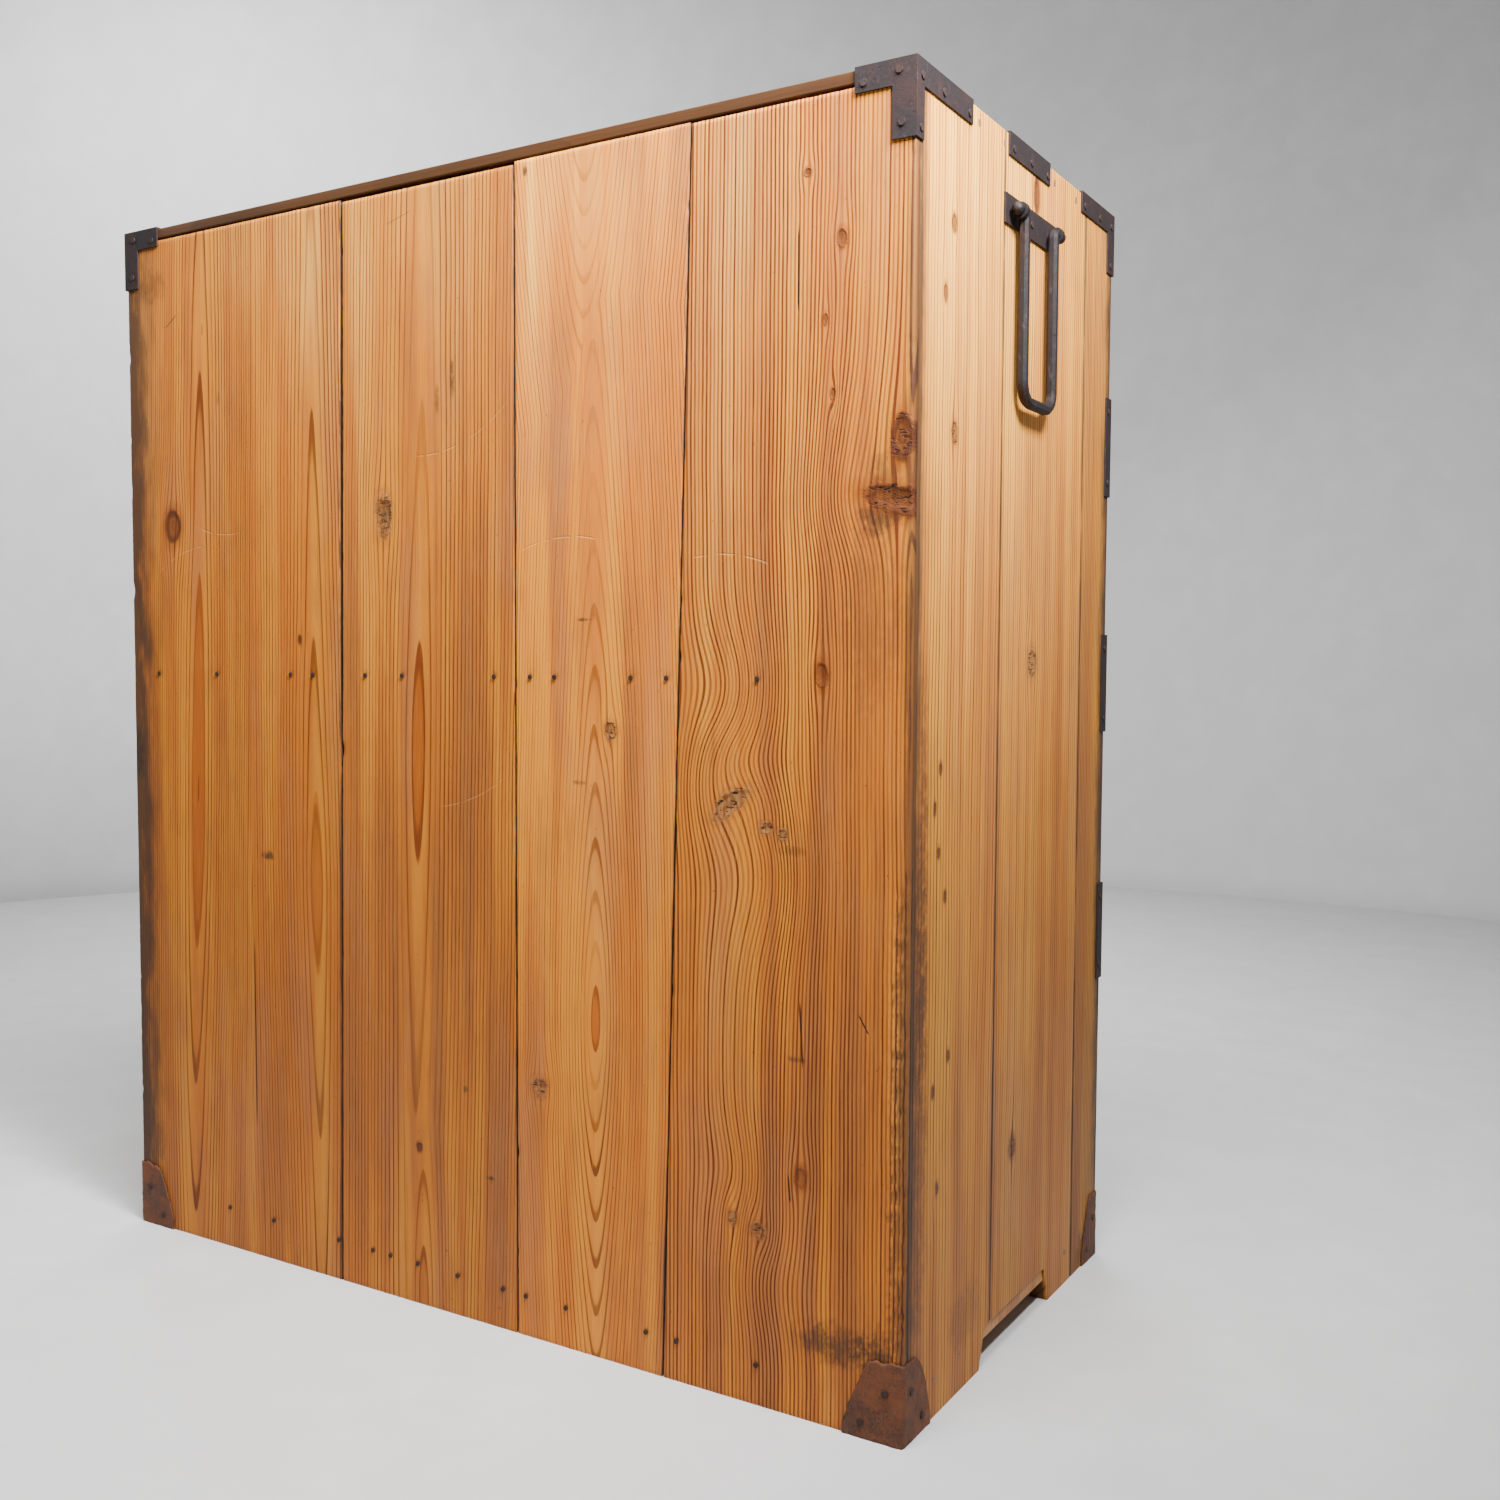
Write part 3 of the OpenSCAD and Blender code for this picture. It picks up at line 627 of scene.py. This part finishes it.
def plank_sides(node):
    """A back board's left and right edge at a height, read from its CAD node."""
    points = [v.co / MM for v in nodes[node].data.vertices]
    low, high = min(p.z for p in points), max(p.z for p in points)
    foot = sorted(p.x for p in points if p.z < low + 1)
    top = sorted(p.x for p in points if p.z > high - 1)

    def at(z):
        share = (z - low) / (high - low)
        return (foot[0] + (top[0] - foot[0]) * share, foot[-1] + (top[-1] - foot[-1]) * share)

    return at


def nail_places(axis, low, high):
    """Middles of the iron nails whose heads lie between two planes across an axis, in millimetres."""
    mesh = nodes["iron_nails"].data
    found = []
    for faces in islands(mesh):
        a, b = faces_box(mesh, faces)
        a, b = a / MM, b / MM
        if low < b[axis] < high:
            found.append((a + b) / 2)
    return found


BACK_NAILS = [(p.x, p.z) for p in nail_places(1, 239, 240.5)]

BACK = dict(axes="xyz", surface=239.0)
# In each back board's pale list, the patches near the top, from about 940 to 1010 high, are a painted
# sheen; the lower ones are pale streaks in the wood.
BACK_BOARDS = {
    "back_board_1": Board(
        "cedar_back_1", seed=1.0, wander=4, contrast=1.5, line=0.70, tone=0.93, floor_shade=0.55, pit_shade=0.9,
        hearts=(Heart(352, 470, 20, 223, 160, 1.06, 0.8, -0.029, side=26, gap=3.8),
                Heart(180, 388, 26, 90, 92, 0.68, 0.7, side=18, gap=4)),
        knots=(Knot(384, 742, 10, 14, dark=0.55, torn=0.1, rim=0.85, pinch=0.72, reach=2.0),
               Knot(200, 624, 2, 4, torn=0.5, dark=0.9)),
        pale=((190, 985, 26, 90, 0.9), (160, 950, 12, 130, 0.6), (270, 1010, 60, 60, 0.35),
              (430, 940, 30, 150, 0.35)),
        stains=((249, 410, 15, 7, 0.8), (445, 505, 16, 40, 0.95), (446, 130, 10, 110, 0.5),
                (425, 95, 20, 40, 0.4), (336, 935, 3, 8, 0.7), (313, 866, 4, 12, 0.35),
                (412, 988, 34, 26, 0.45)),
        edges=((451, 451, 34, 0.9), (151, 138, 3, 0.95)),
        nails=tuple(n for n in BACK_NAILS if n[0] > 145),
        scratches=((330, 590, 130, 345, 400), (300, 860, -130, 290, 345)),
        cuts=((383, 949, 7, -1.5), (270, 230, 120, 0.004)), **BACK),
    "back_board_2": Board(
        "cedar_back_2", seed=2.0, wander=4, contrast=1.45, line=0.70, tone=0.90, floor_shade=0.50, pit_shade=0.9,
        hearts=(Heart(45, 520, 14, 103, 105, 0.60, 0.9, -0.02, side=36, gap=4),
                Heart(43, 5, 8, 52, 60, 0.8, 0.6, side=24, gap=4)),
        knots=(Knot(87, 738, 8, 15, rings=1.6, dark=0.6, rim=0.5, torn=1.0, cream=0.8, slits=0.6,
                    pinch=0.6),
               Knot(48, 150, 3, 4, torn=0.8, dark=0.8, pinch=0.2)),
        pale=((115, 985, 14, 150, 0.8), (60, 1010, 40, 70, 0.45), (-20, 960, 40, 110, 0.35),
              (112, 700, 10, 330, 0.25)),
        calm=((40, 800, 32, 130, 0.6), (40, 260, 34, 120, 0.5)),
        stains=((2, 856, 5, 26, 0.75), (20, 838, 5, 22, 0.6), (-38, 136, 8, 4, 0.8), (-9, 213, 5, 5, 0.6)),
        edges=((151, 138, 1.6, 0.95), (-70, -70, 1.4, 0.95)),
        nails=tuple(n for n in BACK_NAILS if -68 < n[0] < 145),
        scratches=((40, 940, -150, -60, 40), (40, 640, -170, -58, 10)),
        cuts=((66, 1006, 5, -4.0),), **BACK),
    "back_board_3": Board(
        "cedar_back_3", seed=3.0, wander=3.5, contrast=1.15, tone=1.12, floor_shade=0.35, pit_shade=0.9,
        hearts=(Heart(-157, 295, 7, 32, 27, 0.86, 0.9, side=14, gap=4),
                Heart(-148, 1230, 16, 60, 28, 1.0, 0.0, side=20, gap=4)),
        knots=(Knot(-174, 545, 5, 7, rings=1.6, dark=0.4, rim=0.4, torn=1.0, slits=0.85, cream=0.45),
               Knot(-96, 229, 7, 7, rings=1.6, dark=0.4, rim=0.4, torn=1.0, slits=0.85, cream=0.55)),
        pale=((-92, 985, 16, 110, 0.95), (-130, 1000, 40, 60, 0.4), (-200, 990, 40, 90, 0.35)),
        calm=((-150, 800, 46, 200, 0.75), (-148, 1000, 40, 90, 0.4)),
        stains=((-145, 639, 12, 2.5, 0.8), (-83, 1024, 4, 8, 0.9), (-140, 500, 14, 3, 0.5)),
        edges=((-70, -70, 1.5, 0.95), (-228, -254, 1.5, 0.95)),
        nails=tuple(n for n in BACK_NAILS if -232 < n[0] < -68),
        scratches=((-130, 560, 150, -160, -75),), **BACK),
    "back_board_4": Board(
        "cedar_back_4", seed=4.0, floor_shade=0.28, tone=0.97, pith=(-90, 60), ring=3.5, taper=0.004,
        wander=4.5, contrast=1.45, line=0.52, pit_shade=0.5,
        bends=((-292, 585, 40, 46, -17), (-300, 518, 34, 32, 15), (-322, 430, 46, 60, -17),
               (-300, 190, 30, 40, -9), (-330, 100, 40, 40, 8), (-395, 760, 30, 60, 9)),
        knots=(Knot(-294, 490, 13, 8, rings=1.6, dark=0.4, rim=0.35, torn=1.0, cream=0.65, slits=0.9,
                    pinch=0.5, reach=2.6, slope=-0.55),
               Knot(-327, 472, 5, 4, dark=0.35, rim=0.3, torn=1.0, cream=0.6, slits=0.8, pinch=0.2),
               Knot(-342, 468, 4, 4, dark=0.35, rim=0.3, torn=1.0, cream=0.5, slits=0.8, pinch=0.2),
               Knot(-443, 771, 8, 15, rings=1.8, dark=0.85, torn=0.3, rim=0.9, slits=0.6),
               Knot(-440, 725, 24, 9, rings=3, dark=0.8, rim=0.7, torn=1.0, slits=0.9, pinch=0.5,
                    slope=0.2),
               Knot(-391, 924, 4, 6, torn=0.5, dark=0.6, rim=0.4), Knot(-361, 977, 3, 3, torn=0.6, rim=0.3),
               Knot(-377, 865, 2, 4, rim=0.3, dark=0.6), Knot(-384, 808, 2, 4, rim=0.3, dark=0.6),
               Knot(-376, 594, 5, 9, torn=0.7, dark=0.35, rim=0.35),
               Knot(-297, 151, 4, 5, torn=1.0, cream=0.5, slits=0.6, dark=0.2, rim=0.3),
               Knot(-322, 145, 6, 5, torn=1.0, cream=0.5, slits=0.8, dark=0.3, rim=0.35),
               Knot(-360, 196, 5, 7, torn=0.6, dark=0.2, rim=0.25)),
        pale=((-445, 250, 7, 210, 0.6), (-300, 985, 50, 110, 0.5), (-285, 760, 30, 200, 0.35),
              (-285, 330, 20, 130, 0.3)),
        stains=((-425, 712, 34, 20, 0.75), (-430, 745, 24, 30, 0.5), (-350, 455, 22, 6, 0.4),
                (-431, 60, 30, 45, 0.8), (-392, 68, 56, 26, 0.75), (-420, 640, 40, 120, 0.25),
                (-355, 290, 14, 4, 0.6)),
        edges=((-228, -254, 1.6, 0.95), (-451, -451, 5, 0.7)),
        nails=tuple(n for n in BACK_NAILS if n[0] < -232),
        scratches=((-280, 560, 130, -330, -262),),
        cuts=((-360, 310, 32, 0.06), (-415, 325, 9, 0.6), (-353, 905, 40, 0.0), (-350, 185, 14, 0.1)),
        **BACK),
}


def back_wear(number):
    """How far the upright edges of a back board have worn away at a height."""
    wide_gap = {1: (1, 0), 2: (0, 1)}.get(number, (0, 0))

    def worn(z):
        left = 0.4 + 0.5 * abs(rough_noise(0, z, 70, number)) + 0.6 * abs(rough_noise(1, z, 9, number))
        right = 0.4 + 0.5 * abs(rough_noise(2, z, 70, number)) + 0.6 * abs(rough_noise(3, z, 9, number))
        high = max(0.0, min(1.0, (z - 520) / 60)) * max(0.0, min(1.0, (1100 - z) / 120))
        if number == 4:
            left = 0.3 * left
        return left + 1.4 * wide_gap[0] * high, right + 0.9 * wide_gap[1] * high

    return worn


def back_sink(number, board):
    """How far a back board's face lies below the flat at a place."""

    def sink(x, z, from_edge):
        drop = 0.25 + 0.25 * rough_noise(x, z * 0.3, 60, number)
        for knot in board.knots:
            q = math.hypot((x - knot.u) / knot.ru, (z - knot.w - (x - knot.u) * knot.slope) / knot.rw)
            if q < 2.2:
                swell = math.exp(-((q - 1.1) / 0.45) ** 2) * -0.25
                torn = math.exp(-(q / 0.8) ** 2) * knot.torn
                drop += swell + torn * (0.9 + 1.1 * rough_noise(x, z, 3.5, 11))
        for nu, nw in board.nails:
            q = math.hypot(x - nu, z - nw)
            if q < 8:
                drop += 0.7 * math.exp(-(q / 3.6) ** 2)
        if number == 4 and x < -430:
            crumbly = max(0.0, min(1.0, (470 - z) / 90)) * max(0.0, min(1.0, (z - 66) / 12))
            rough = 0.5 + 0.5 * rough_noise(x * 1.2, z * 0.8, 4.5, 5)
            drop += crumbly * math.exp(-((x + 446) / 9) ** 2) * (0.4 + 3.0 * rough ** 2)
        chip = max(0.0, rough_noise(0.3 * x, z, 16, 20 + number) - 0.42) * 6
        drop += chip * math.exp(-from_edge / 2.0)
        drop += 0.5 * math.exp(-from_edge / 0.9)
        return drop

    return sink


for index, (node, board) in enumerate(BACK_BOARDS.items(), start=1):
    plank(f"weathered_{node}", node, wood(board), plank_sides(node), back_sink(index, board),
          back_wear(index))


# ---- the other woodwork -----------------------------------------------------------------------

SIDE_EARLY = (0.58, 0.190, 0.018)
SIDE_GOLD = (0.68, 0.280, 0.028)
SIDE_LATE = (0.12, 0.030, 0.006)
SIDE_DIRT = ((12, 2.6), (2.6, 2.6), (2.6, 18))      # width of the dirt along each board's two edges
SIDE_STAINS = (((213, 420, 16, 260, 0.6), (213, 250, 22, 300, 0.5), (120, 60, 60, 40, 0.3)), (),
               ((-205, 500, 14, 420, 0.45), (-180, 20, 30, 30, 0.5)))


def side_boards(side, sign, knots):
    """Materials for a side panel's rear, middle and front board."""
    seams = ((231, 231), (64, 64), (-145, -139), (-219, -219))
    piths = ((520, 60), (-330, 90), (260, 70))
    made = []
    for k, name in enumerate(("rear", "middle", "front")):
        made.append(wood(Board(
            f"cedar_{side}_{name}", "yxz", pith=piths[k], ring=(5.6, 5.0, 4.4)[k],
            taper=0.008 * (1 - k), wander=9, seed=10.0 * sign + k, contrast=1.35, line=0.66,
            # The boards grow darker towards the floor in painted shade, most of all on the side.
            floor_shade=(0.80, 0.85, 0.95)[k], tone=(1.12, 1.10, 0.90)[k],
            early=SIDE_EARLY, gold=SIDE_GOLD, late=SIDE_LATE, knots=knots[k], surface=sign * 451.0,
            # The first pale patch, over the top of each board, is a painted highlight; the second is a pale
            # streak in the wood.
            pale=((150 - 130 * k, 980, 100, 210, (1.0, 1.0, 0.5)[k]), (140 - 130 * k, 500, 40, 330, 0.3)),
            stains=SIDE_STAINS[k], foot_dark=0.8,
            edges=tuple((*seams[k + e], SIDE_DIRT[k][e], 0.92) for e in (0, 1)))))
    return made


def which_side_board(low, high):
    middle = (low.y + high.y) / 2 / MM
    return 0 if middle > 64 else 1 if middle > -139 else 2


# Small knots down the rear board of the side by the camera
SIDE_PINS = ((181, 521), (191, 490), (183, 455), (170, 419), (160, 289), (189, 266), (179, 186))
LEFT_KNOTS = (
    (Knot(162, 784, 5, 8, torn=0.8, dark=0.5, rim=0.4, cream=0.3, slits=0.6),
     Knot(167, 944, 4, 6, torn=0.6, dark=0.6), Knot(182, 888, 3, 6, torn=0.3, dark=0.6),
     *(Knot(y, z, 2.5, 4.5, torn=0.8, dark=0.75, rim=0.5, pinch=0.3) for y, z in SIDE_PINS)),
    (Knot(-9, 1012, 6, 14, torn=0.3),
     Knot(-14, 604, 9, 10, torn=1.0, dark=0.3, rim=0.4, cream=0.6, slits=0.6),
     Knot(17, 176, 6, 9, torn=0.8, dark=0.3, rim=0.35, slits=0.5)),
    ())
RIGHT_KNOTS = (
    (Knot(140, 420, 8, 12, torn=0.4),),
    (Knot(10, 730, 7, 11, torn=0.5), Knot(-80, 260, 5, 8, torn=0.6)),
    (Knot(-180, 560, 5, 9, torn=0.3),))

dress("left_side_boards", side_boards("left", -1, LEFT_KNOTS), 1.0, which_side_board)
dress("right_side_boards", side_boards("right", 1, RIGHT_KNOTS), 1.0, which_side_board)

# The top's low tone is partly its older, dirtier wood and partly painted shade that dims the strong light
# falling on it from above.
dress("top_board", [wood(Board(
    "cedar_top", "yzx", surface=1045.0, seed=30.0, contrast=0.75, wander=6,
    hearts=(Heart(-60, -180, 9, 200, 170, 1.15, 0.5), Heart(110, 150, 8, 150, 220, 1.15, 0.4)),
    knots=(Knot(150, -250, 8, 12), Knot(-150, 210, 6, 9)),
    pale=((0, 0, 260, 420, 0.3),), stains=((-40, 260, 60, 90, 0.3), (60, -120, 40, 40, 0.3)), tone=0.62,
    edges=((239, 239, 14, 0.85), (-219, -219, 6, 0.5))))], 1.2)
dress("front_rails", [wood(Board("cedar_rails", "zyx", pith=(400, 60), ring=3.4, wander=3, seed=31.0,
                                 surface=-219.0))], 0.8)
BARE = dict(early=(0.50, 0.23, 0.075), gold=(0.58, 0.29, 0.095), late=(0.19, 0.07, 0.02))   # not oiled
inside = wood(Board("cedar_inside", "yzx", seed=32.0, surface=500.0, contrast=0.6, tone=0.8,
                    hearts=(Heart(40, 100, 10, 260, 240, 1.15, 0.4),), **BARE))
upright = wood(Board("cedar_uprights", "zxy", pith=(1400, 80), ring=4.0, wander=4, seed=33.0))
for name in ("tier_shelves", "row_shelves", "bottom_board"):
    dress(name, [inside], 0.8)
dress("drawer_dividers", [upright], 0.8)

# The drawers: one plank was cut into the fronts of each row
DRAWER_NAMES = [n for n in nodes if n.startswith("drawer_") and n != "drawer_dividers"]
drawer_sides = wood(Board("cedar_drawer_sides", "zxy", pith=(1300, 70), ring=4.2, seed=34.0, tone=0.95,
                          **BARE))
drawer_floor = wood(Board("cedar_drawer_floor", "yzx", seed=35.0, tone=0.95, contrast=0.7,
                          hearts=(Heart(20, -60, 10, 300, 300, 1.15, 0.3),), **BARE))
drawer_back = wood(Board("cedar_drawer_back", "zyx", pith=(1300, 60), ring=4.2, seed=36.0, tone=0.95,
                         **BARE))
fronts = {}
rng = random.Random(17)
for row in range(1, 7):
    low, high = (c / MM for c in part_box(f"drawer_{row}_1"))
    middle = (low.z + high.z) / 2
    knots = tuple(Knot(rng.uniform(low.z, high.z), rng.uniform(-420, 420), rng.uniform(3, 6),
                       rng.uniform(4, 8)) for _ in range(1 + row // 5))
    hearts = tuple(Heart(middle + rng.uniform(-22, 22), x, rng.uniform(6, 9), rng.uniform(90, 170),
                         rng.uniform(90, 170), 1.14, rng.uniform(0.2, 0.6))
                   for x in (rng.uniform(-380, -120), rng.uniform(120, 380)))
    fronts[row] = wood(Board(
        f"cedar_fronts_{row}", "zyx", hearts=hearts, wander=4, seed=40.0 + row, surface=-218.0,
        knots=knots, pale=((middle, rng.uniform(-300, 300), 40, 200, 0.35),)))


def which_drawer_board(front_y):
    def choose(low, high):
        if high.y < front_y + 0.03:
            return 0
        if high.z - low.z < 0.012:
            return 2
        return 1 if high.y - low.y > 0.1 else 3
    return choose


for name in DRAWER_NAMES:
    row = int(name.split("_")[1])
    dress(name, [fronts[row], drawer_sides, drawer_floor, drawer_back], 0.9,
          which_drawer_board(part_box(name)[0].y))

PEG_PALE, PEG_DARK = (0.24, 0.12, 0.05), (0.10, 0.05, 0.025)
peg_end = Graph("peg_end_grain")
speck = peg_end.noise(peg_end.place(), 0.9, 3.0, 0.6)
tint = peg_end.mix(peg_end.step(0.35, 0.7, speck), PEG_PALE, PEG_DARK)
dress("wooden_pegs", [peg_end.finish(tint, 0.7, peg_end.bump(speck, 0.25))], 0.3)


# ---- iron fittings ----------------------------------------------------------------------------

sheet_iron = iron("forged_sheet", (0.014, 0.010, 0.011), (0.050, 0.035, 0.037), (0.042, 0.017, 0.012), 0.5)
bar_iron = iron("forged_bar", (0.010, 0.008, 0.009), (0.07, 0.055, 0.055), (0.045, 0.017, 0.010), 0.30,
                0.5, 0.46)
rusty = iron("rusted_sheet", (0.060, 0.027, 0.017), (0.16, 0.078, 0.047), (0.160, 0.052, 0.020), 0.8, 1.0,
             0.62)
nail_iron = iron("nail_heads", (0.022, 0.014, 0.013), (0.07, 0.046, 0.040), (0.055, 0.023, 0.014), 0.5, 0.3)

for name in ("top_corner_irons", "top_edge_straps", "rail_end_irons", "handle_plates"):
    dress(name, [sheet_iron], 0.35)


# A foot iron is a thin rusty sheet bent round a lower corner, eaten away along its upper edge
SHOULDER = ((0, 1), (0.44, 1), (0.57, 0.93), (0.69, 0.79), (0.83, 0.55), (0.94, 0.32), (1, 0.15))
FOOT_TALL, FOOT_ROWS, BEND_R = 65, 26, 1.2


def shoulder(share):
    """Height of a foot iron's rounded outline, as a share, at a share of its width."""
    for (a, ha), (b, hb) in zip(SHOULDER, SHOULDER[1:]):
        if share <= b:
            return ha + (hb - ha) * (share - a) / (b - a)
    return SHOULDER[-1][1]


def round_corner(s, lift):
    """A point of a path round a corner at (0, 0): along one face, a small bend, along the other."""
    arc = BEND_R * math.pi / 4
    if abs(s) < arc:
        turn = math.radians(45) * (1 + s / arc)
        r = BEND_R + lift
        return (r * math.cos(turn) - BEND_R, r * math.sin(turn) - BEND_R)
    along = -BEND_R - (abs(s) - arc)
    return (lift, along) if s < 0 else (along, lift)


def foot_iron_points(corner, signs, side_w, face_w, square_face):
    """Points of a foot iron's outer and inner skin. Corner is the chest's corner; signs say which way
    x and y point outwards."""
    seed = 31 + signs[0] + 3 * signs[1]
    points = []
    for lift in (1.6, 0.15):
        for s in foot_columns(side_w, face_w):
            share = abs(s) / (side_w if s < 0 else face_w)
            tall = FOOT_TALL * (1 if square_face and s > 0 else shoulder(share))
            tall *= 1 + 0.05 * rough_noise(s, 0, 11, seed) + 0.035 * rough_noise(s, 9, 3.2, seed)
            for j in range(FOOT_ROWS + 1):
                z = tall * j / FOOT_ROWS
                edge = 1 + 0.05 * share * rough_noise(z, 4, 7, seed + 1)
                dent = 0.5 * rough_noise(s, z, 9, seed + 2) + 0.3 * rough_noise(s, z, 3.5, seed + 3)
                a, b = round_corner(s * edge, lift + (dent if lift > 1 else 0))
                points.append(((corner[0] + a) * signs[0] * MM, (corner[1] + b) * signs[1] * MM, z * MM))
    return points


def foot_columns(side_w, face_w):
    """Places along a foot iron, below zero on the side and above zero on the face."""
    return [side_w * (k / 22 - 1) for k in range(22)] + [face_w * k / 22 for k in range(23)]


def foot_iron_faces(start, wide, flipped):
    """Faces of a foot iron whose points begin at start and lie in wide columns."""
    faces = []

    def at(layer, i, j):
        return start + (layer * wide + i) * (FOOT_ROWS + 1) + j

    for i in range(wide - 1):
        for j in range(FOOT_ROWS):
            faces.append((at(0, i, j), at(0, i + 1, j), at(0, i + 1, j + 1), at(0, i, j + 1)))
            faces.append((at(1, i, j + 1), at(1, i + 1, j + 1), at(1, i + 1, j), at(1, i, j)))
        for j, turn in ((0, True), (FOOT_ROWS, False)):
            rim = (at(0, i, j), at(0, i + 1, j), at(1, i + 1, j), at(1, i, j))
            faces.append(tuple(reversed(rim)) if turn else rim)
    for i, turn in ((0, False), (wide - 1, True)):
        for j in range(FOOT_ROWS):
            rim = (at(0, i, j), at(0, i, j + 1), at(1, i, j + 1), at(1, i, j))
            faces.append(tuple(reversed(rim)) if turn else rim)
    return [tuple(reversed(f)) for f in faces] if flipped else faces


def foot_iron(points, faces, corner, signs, side_w, face_w, square_face):
    """Adds one foot iron to a mesh."""
    new = foot_iron_points(corner, signs, side_w, face_w, square_face)
    wide = len(new) // (2 * (FOOT_ROWS + 1))
    faces.extend(foot_iron_faces(len(points), wide, signs[0] * signs[1] < 0))
    points.extend(new)


points, faces = [], []
for sx in (-1, 1):
    foot_iron(points, faces, (451, 239), (sx, 1), 48, 50, False)
    foot_iron(points, faces, (451, 219), (sx, -1), 42, 17, True)
new_piece("rusted_foot_irons", points, faces, rusty, "case", ("foot_irons",))
dress("handle_eyes", [bar_iron], 0.3)
for name in nodes:
    if name.endswith("_handle") or name.startswith(("knob_", "pull_plates_", "bail_")):
        dress(name, [bar_iron], 0.35)
dress("iron_nails", [nail_iron], 0.3)


# ---- studio -----------------------------------------------------------------------------------

def turned(profile, sides=96):
    """A surface of rings round the z axis through a profile of (radius, height) places."""
    points, faces = [], []
    for radius, height in profile:
        for k in range(sides):
            turn = 2 * math.pi * k / sides
            points.append((radius * math.cos(turn), radius * math.sin(turn), height))
    for ring in range(len(profile) - 1):
        a, b = ring * sides, (ring + 1) * sides
        for k in range(sides):
            n = (k + 1) % sides
            faces.append((a + k, b + k, b + n, a + n))
    return points, faces


def studio_part(name, profile, material):
    points, faces = turned(profile)
    mesh = bpy.data.meshes.new(name)
    mesh.from_pydata(points, [], faces)
    mesh.polygons.foreach_set("use_smooth", [True] * len(mesh.polygons))
    mesh.materials.append(material)
    obj = bpy.data.objects.new(name, mesh)
    bpy.context.scene.collection.objects.link(obj)
    return obj


def plaster(name, pale):
    """Matt plaster in cloudy greys round one brightness."""
    g = Graph(name)
    place = g.place()
    mottle = g.noise(place, 90, 5.0, 0.62)
    cloudy = g.noise(place, 700, 3.0, 0.5)
    grey = g.mix(g.step(0.35, 0.70, mottle) * 0.5, (pale * 0.86,) * 3, (pale,) * 3)
    grey = g.mix(g.step(0.3, 0.7, cloudy) * 0.4, grey, (pale * 0.80, pale * 0.81, pale * 0.83))
    return g.finish(grey, 0.6, g.bump(mottle, 0.6))


ROOM_R, ROOM_H, SKIRTING = 2.8, 3.6, 0.02
studio_part("studio_floor", [(0.001, 0), (ROOM_R, 0)], plaster("studio_floor_plaster", 0.66))
wall = studio_part("studio_wall", [(ROOM_R - SKIRTING, 0), (ROOM_R - SKIRTING, 0.07), (ROOM_R, 0.09),
                                   (ROOM_R, ROOM_H)], plaster("studio_wall_plaster", 0.54))
wall.visible_diffuse = False        # the wall is seen but sends no light back onto the chest
wall.visible_shadow = False


def area_light(name, place, target, size, power):
    data = bpy.data.lights.new(name, "AREA")
    data.shape = "DISK"
    data.size = size
    data.energy = power
    lamp = bpy.data.objects.new(name, data)
    lamp.location = place
    lamp.rotation_euler = (Vector(target) - Vector(place)).to_track_quat("-Z", "Y").to_euler()
    lamp.visible_camera = False
    bpy.context.scene.collection.objects.link(lamp)


area_light("key", (-1.0, 0.52, 1.58), (-0.30, 0.34, 1.66), 0.5, 110)
area_light("down the back", (-0.45, 0.66, 2.10), (-0.40, 0.60, 0.0), 0.7, 66)
area_light("wall wash", (1.6, -0.9, 2.3), (2.0, -1.7, 1.3), 0.9, 40)
area_light("front", (0.9, -1.9, 1.9), (0, -0.2, 0.5), 1.2, 38)
area_light("right", (1.9, 0.3, 1.9), (0.4, 0.0, 0.6), 1.0, 16)

world = bpy.data.worlds.new("studio light")
world.use_nodes = True
world.node_tree.nodes["Background"].inputs["Color"].default_value = (0.95, 0.97, 1.0, 1)
world.node_tree.nodes["Background"].inputs["Strength"].default_value = 0.18
bpy.context.scene.world = world


# ---- camera -----------------------------------------------------------------------------------

YAW, PITCH, ROLL = (math.radians(a) for a in (31.26, -3.17, 0.28))
EYE = (-0.9296, 1.2568, 0.5995)
LENS, SENSOR = 35.93, 36        # millimetres
ahead = Vector((math.sin(YAW) * math.cos(PITCH), -math.cos(YAW) * math.cos(PITCH), math.sin(PITCH)))
right = ahead.cross(Vector((0, 0, 1))).normalized()
up = right.cross(ahead)
turned_right = right * math.cos(ROLL) + up * math.sin(ROLL)
turned_up = up * math.cos(ROLL) - right * math.sin(ROLL)
camera_data = bpy.data.cameras.new("camera")
camera_data.lens = LENS
camera_data.sensor_width = SENSOR
camera = bpy.data.objects.new("camera", camera_data)
camera.matrix_world = Matrix((
    (turned_right.x, turned_up.x, -ahead.x, EYE[0]),
    (turned_right.y, turned_up.y, -ahead.y, EYE[1]),
    (turned_right.z, turned_up.z, -ahead.z, EYE[2]),
    (0, 0, 0, 1)))
bpy.context.scene.collection.objects.link(camera)
bpy.context.scene.camera = camera
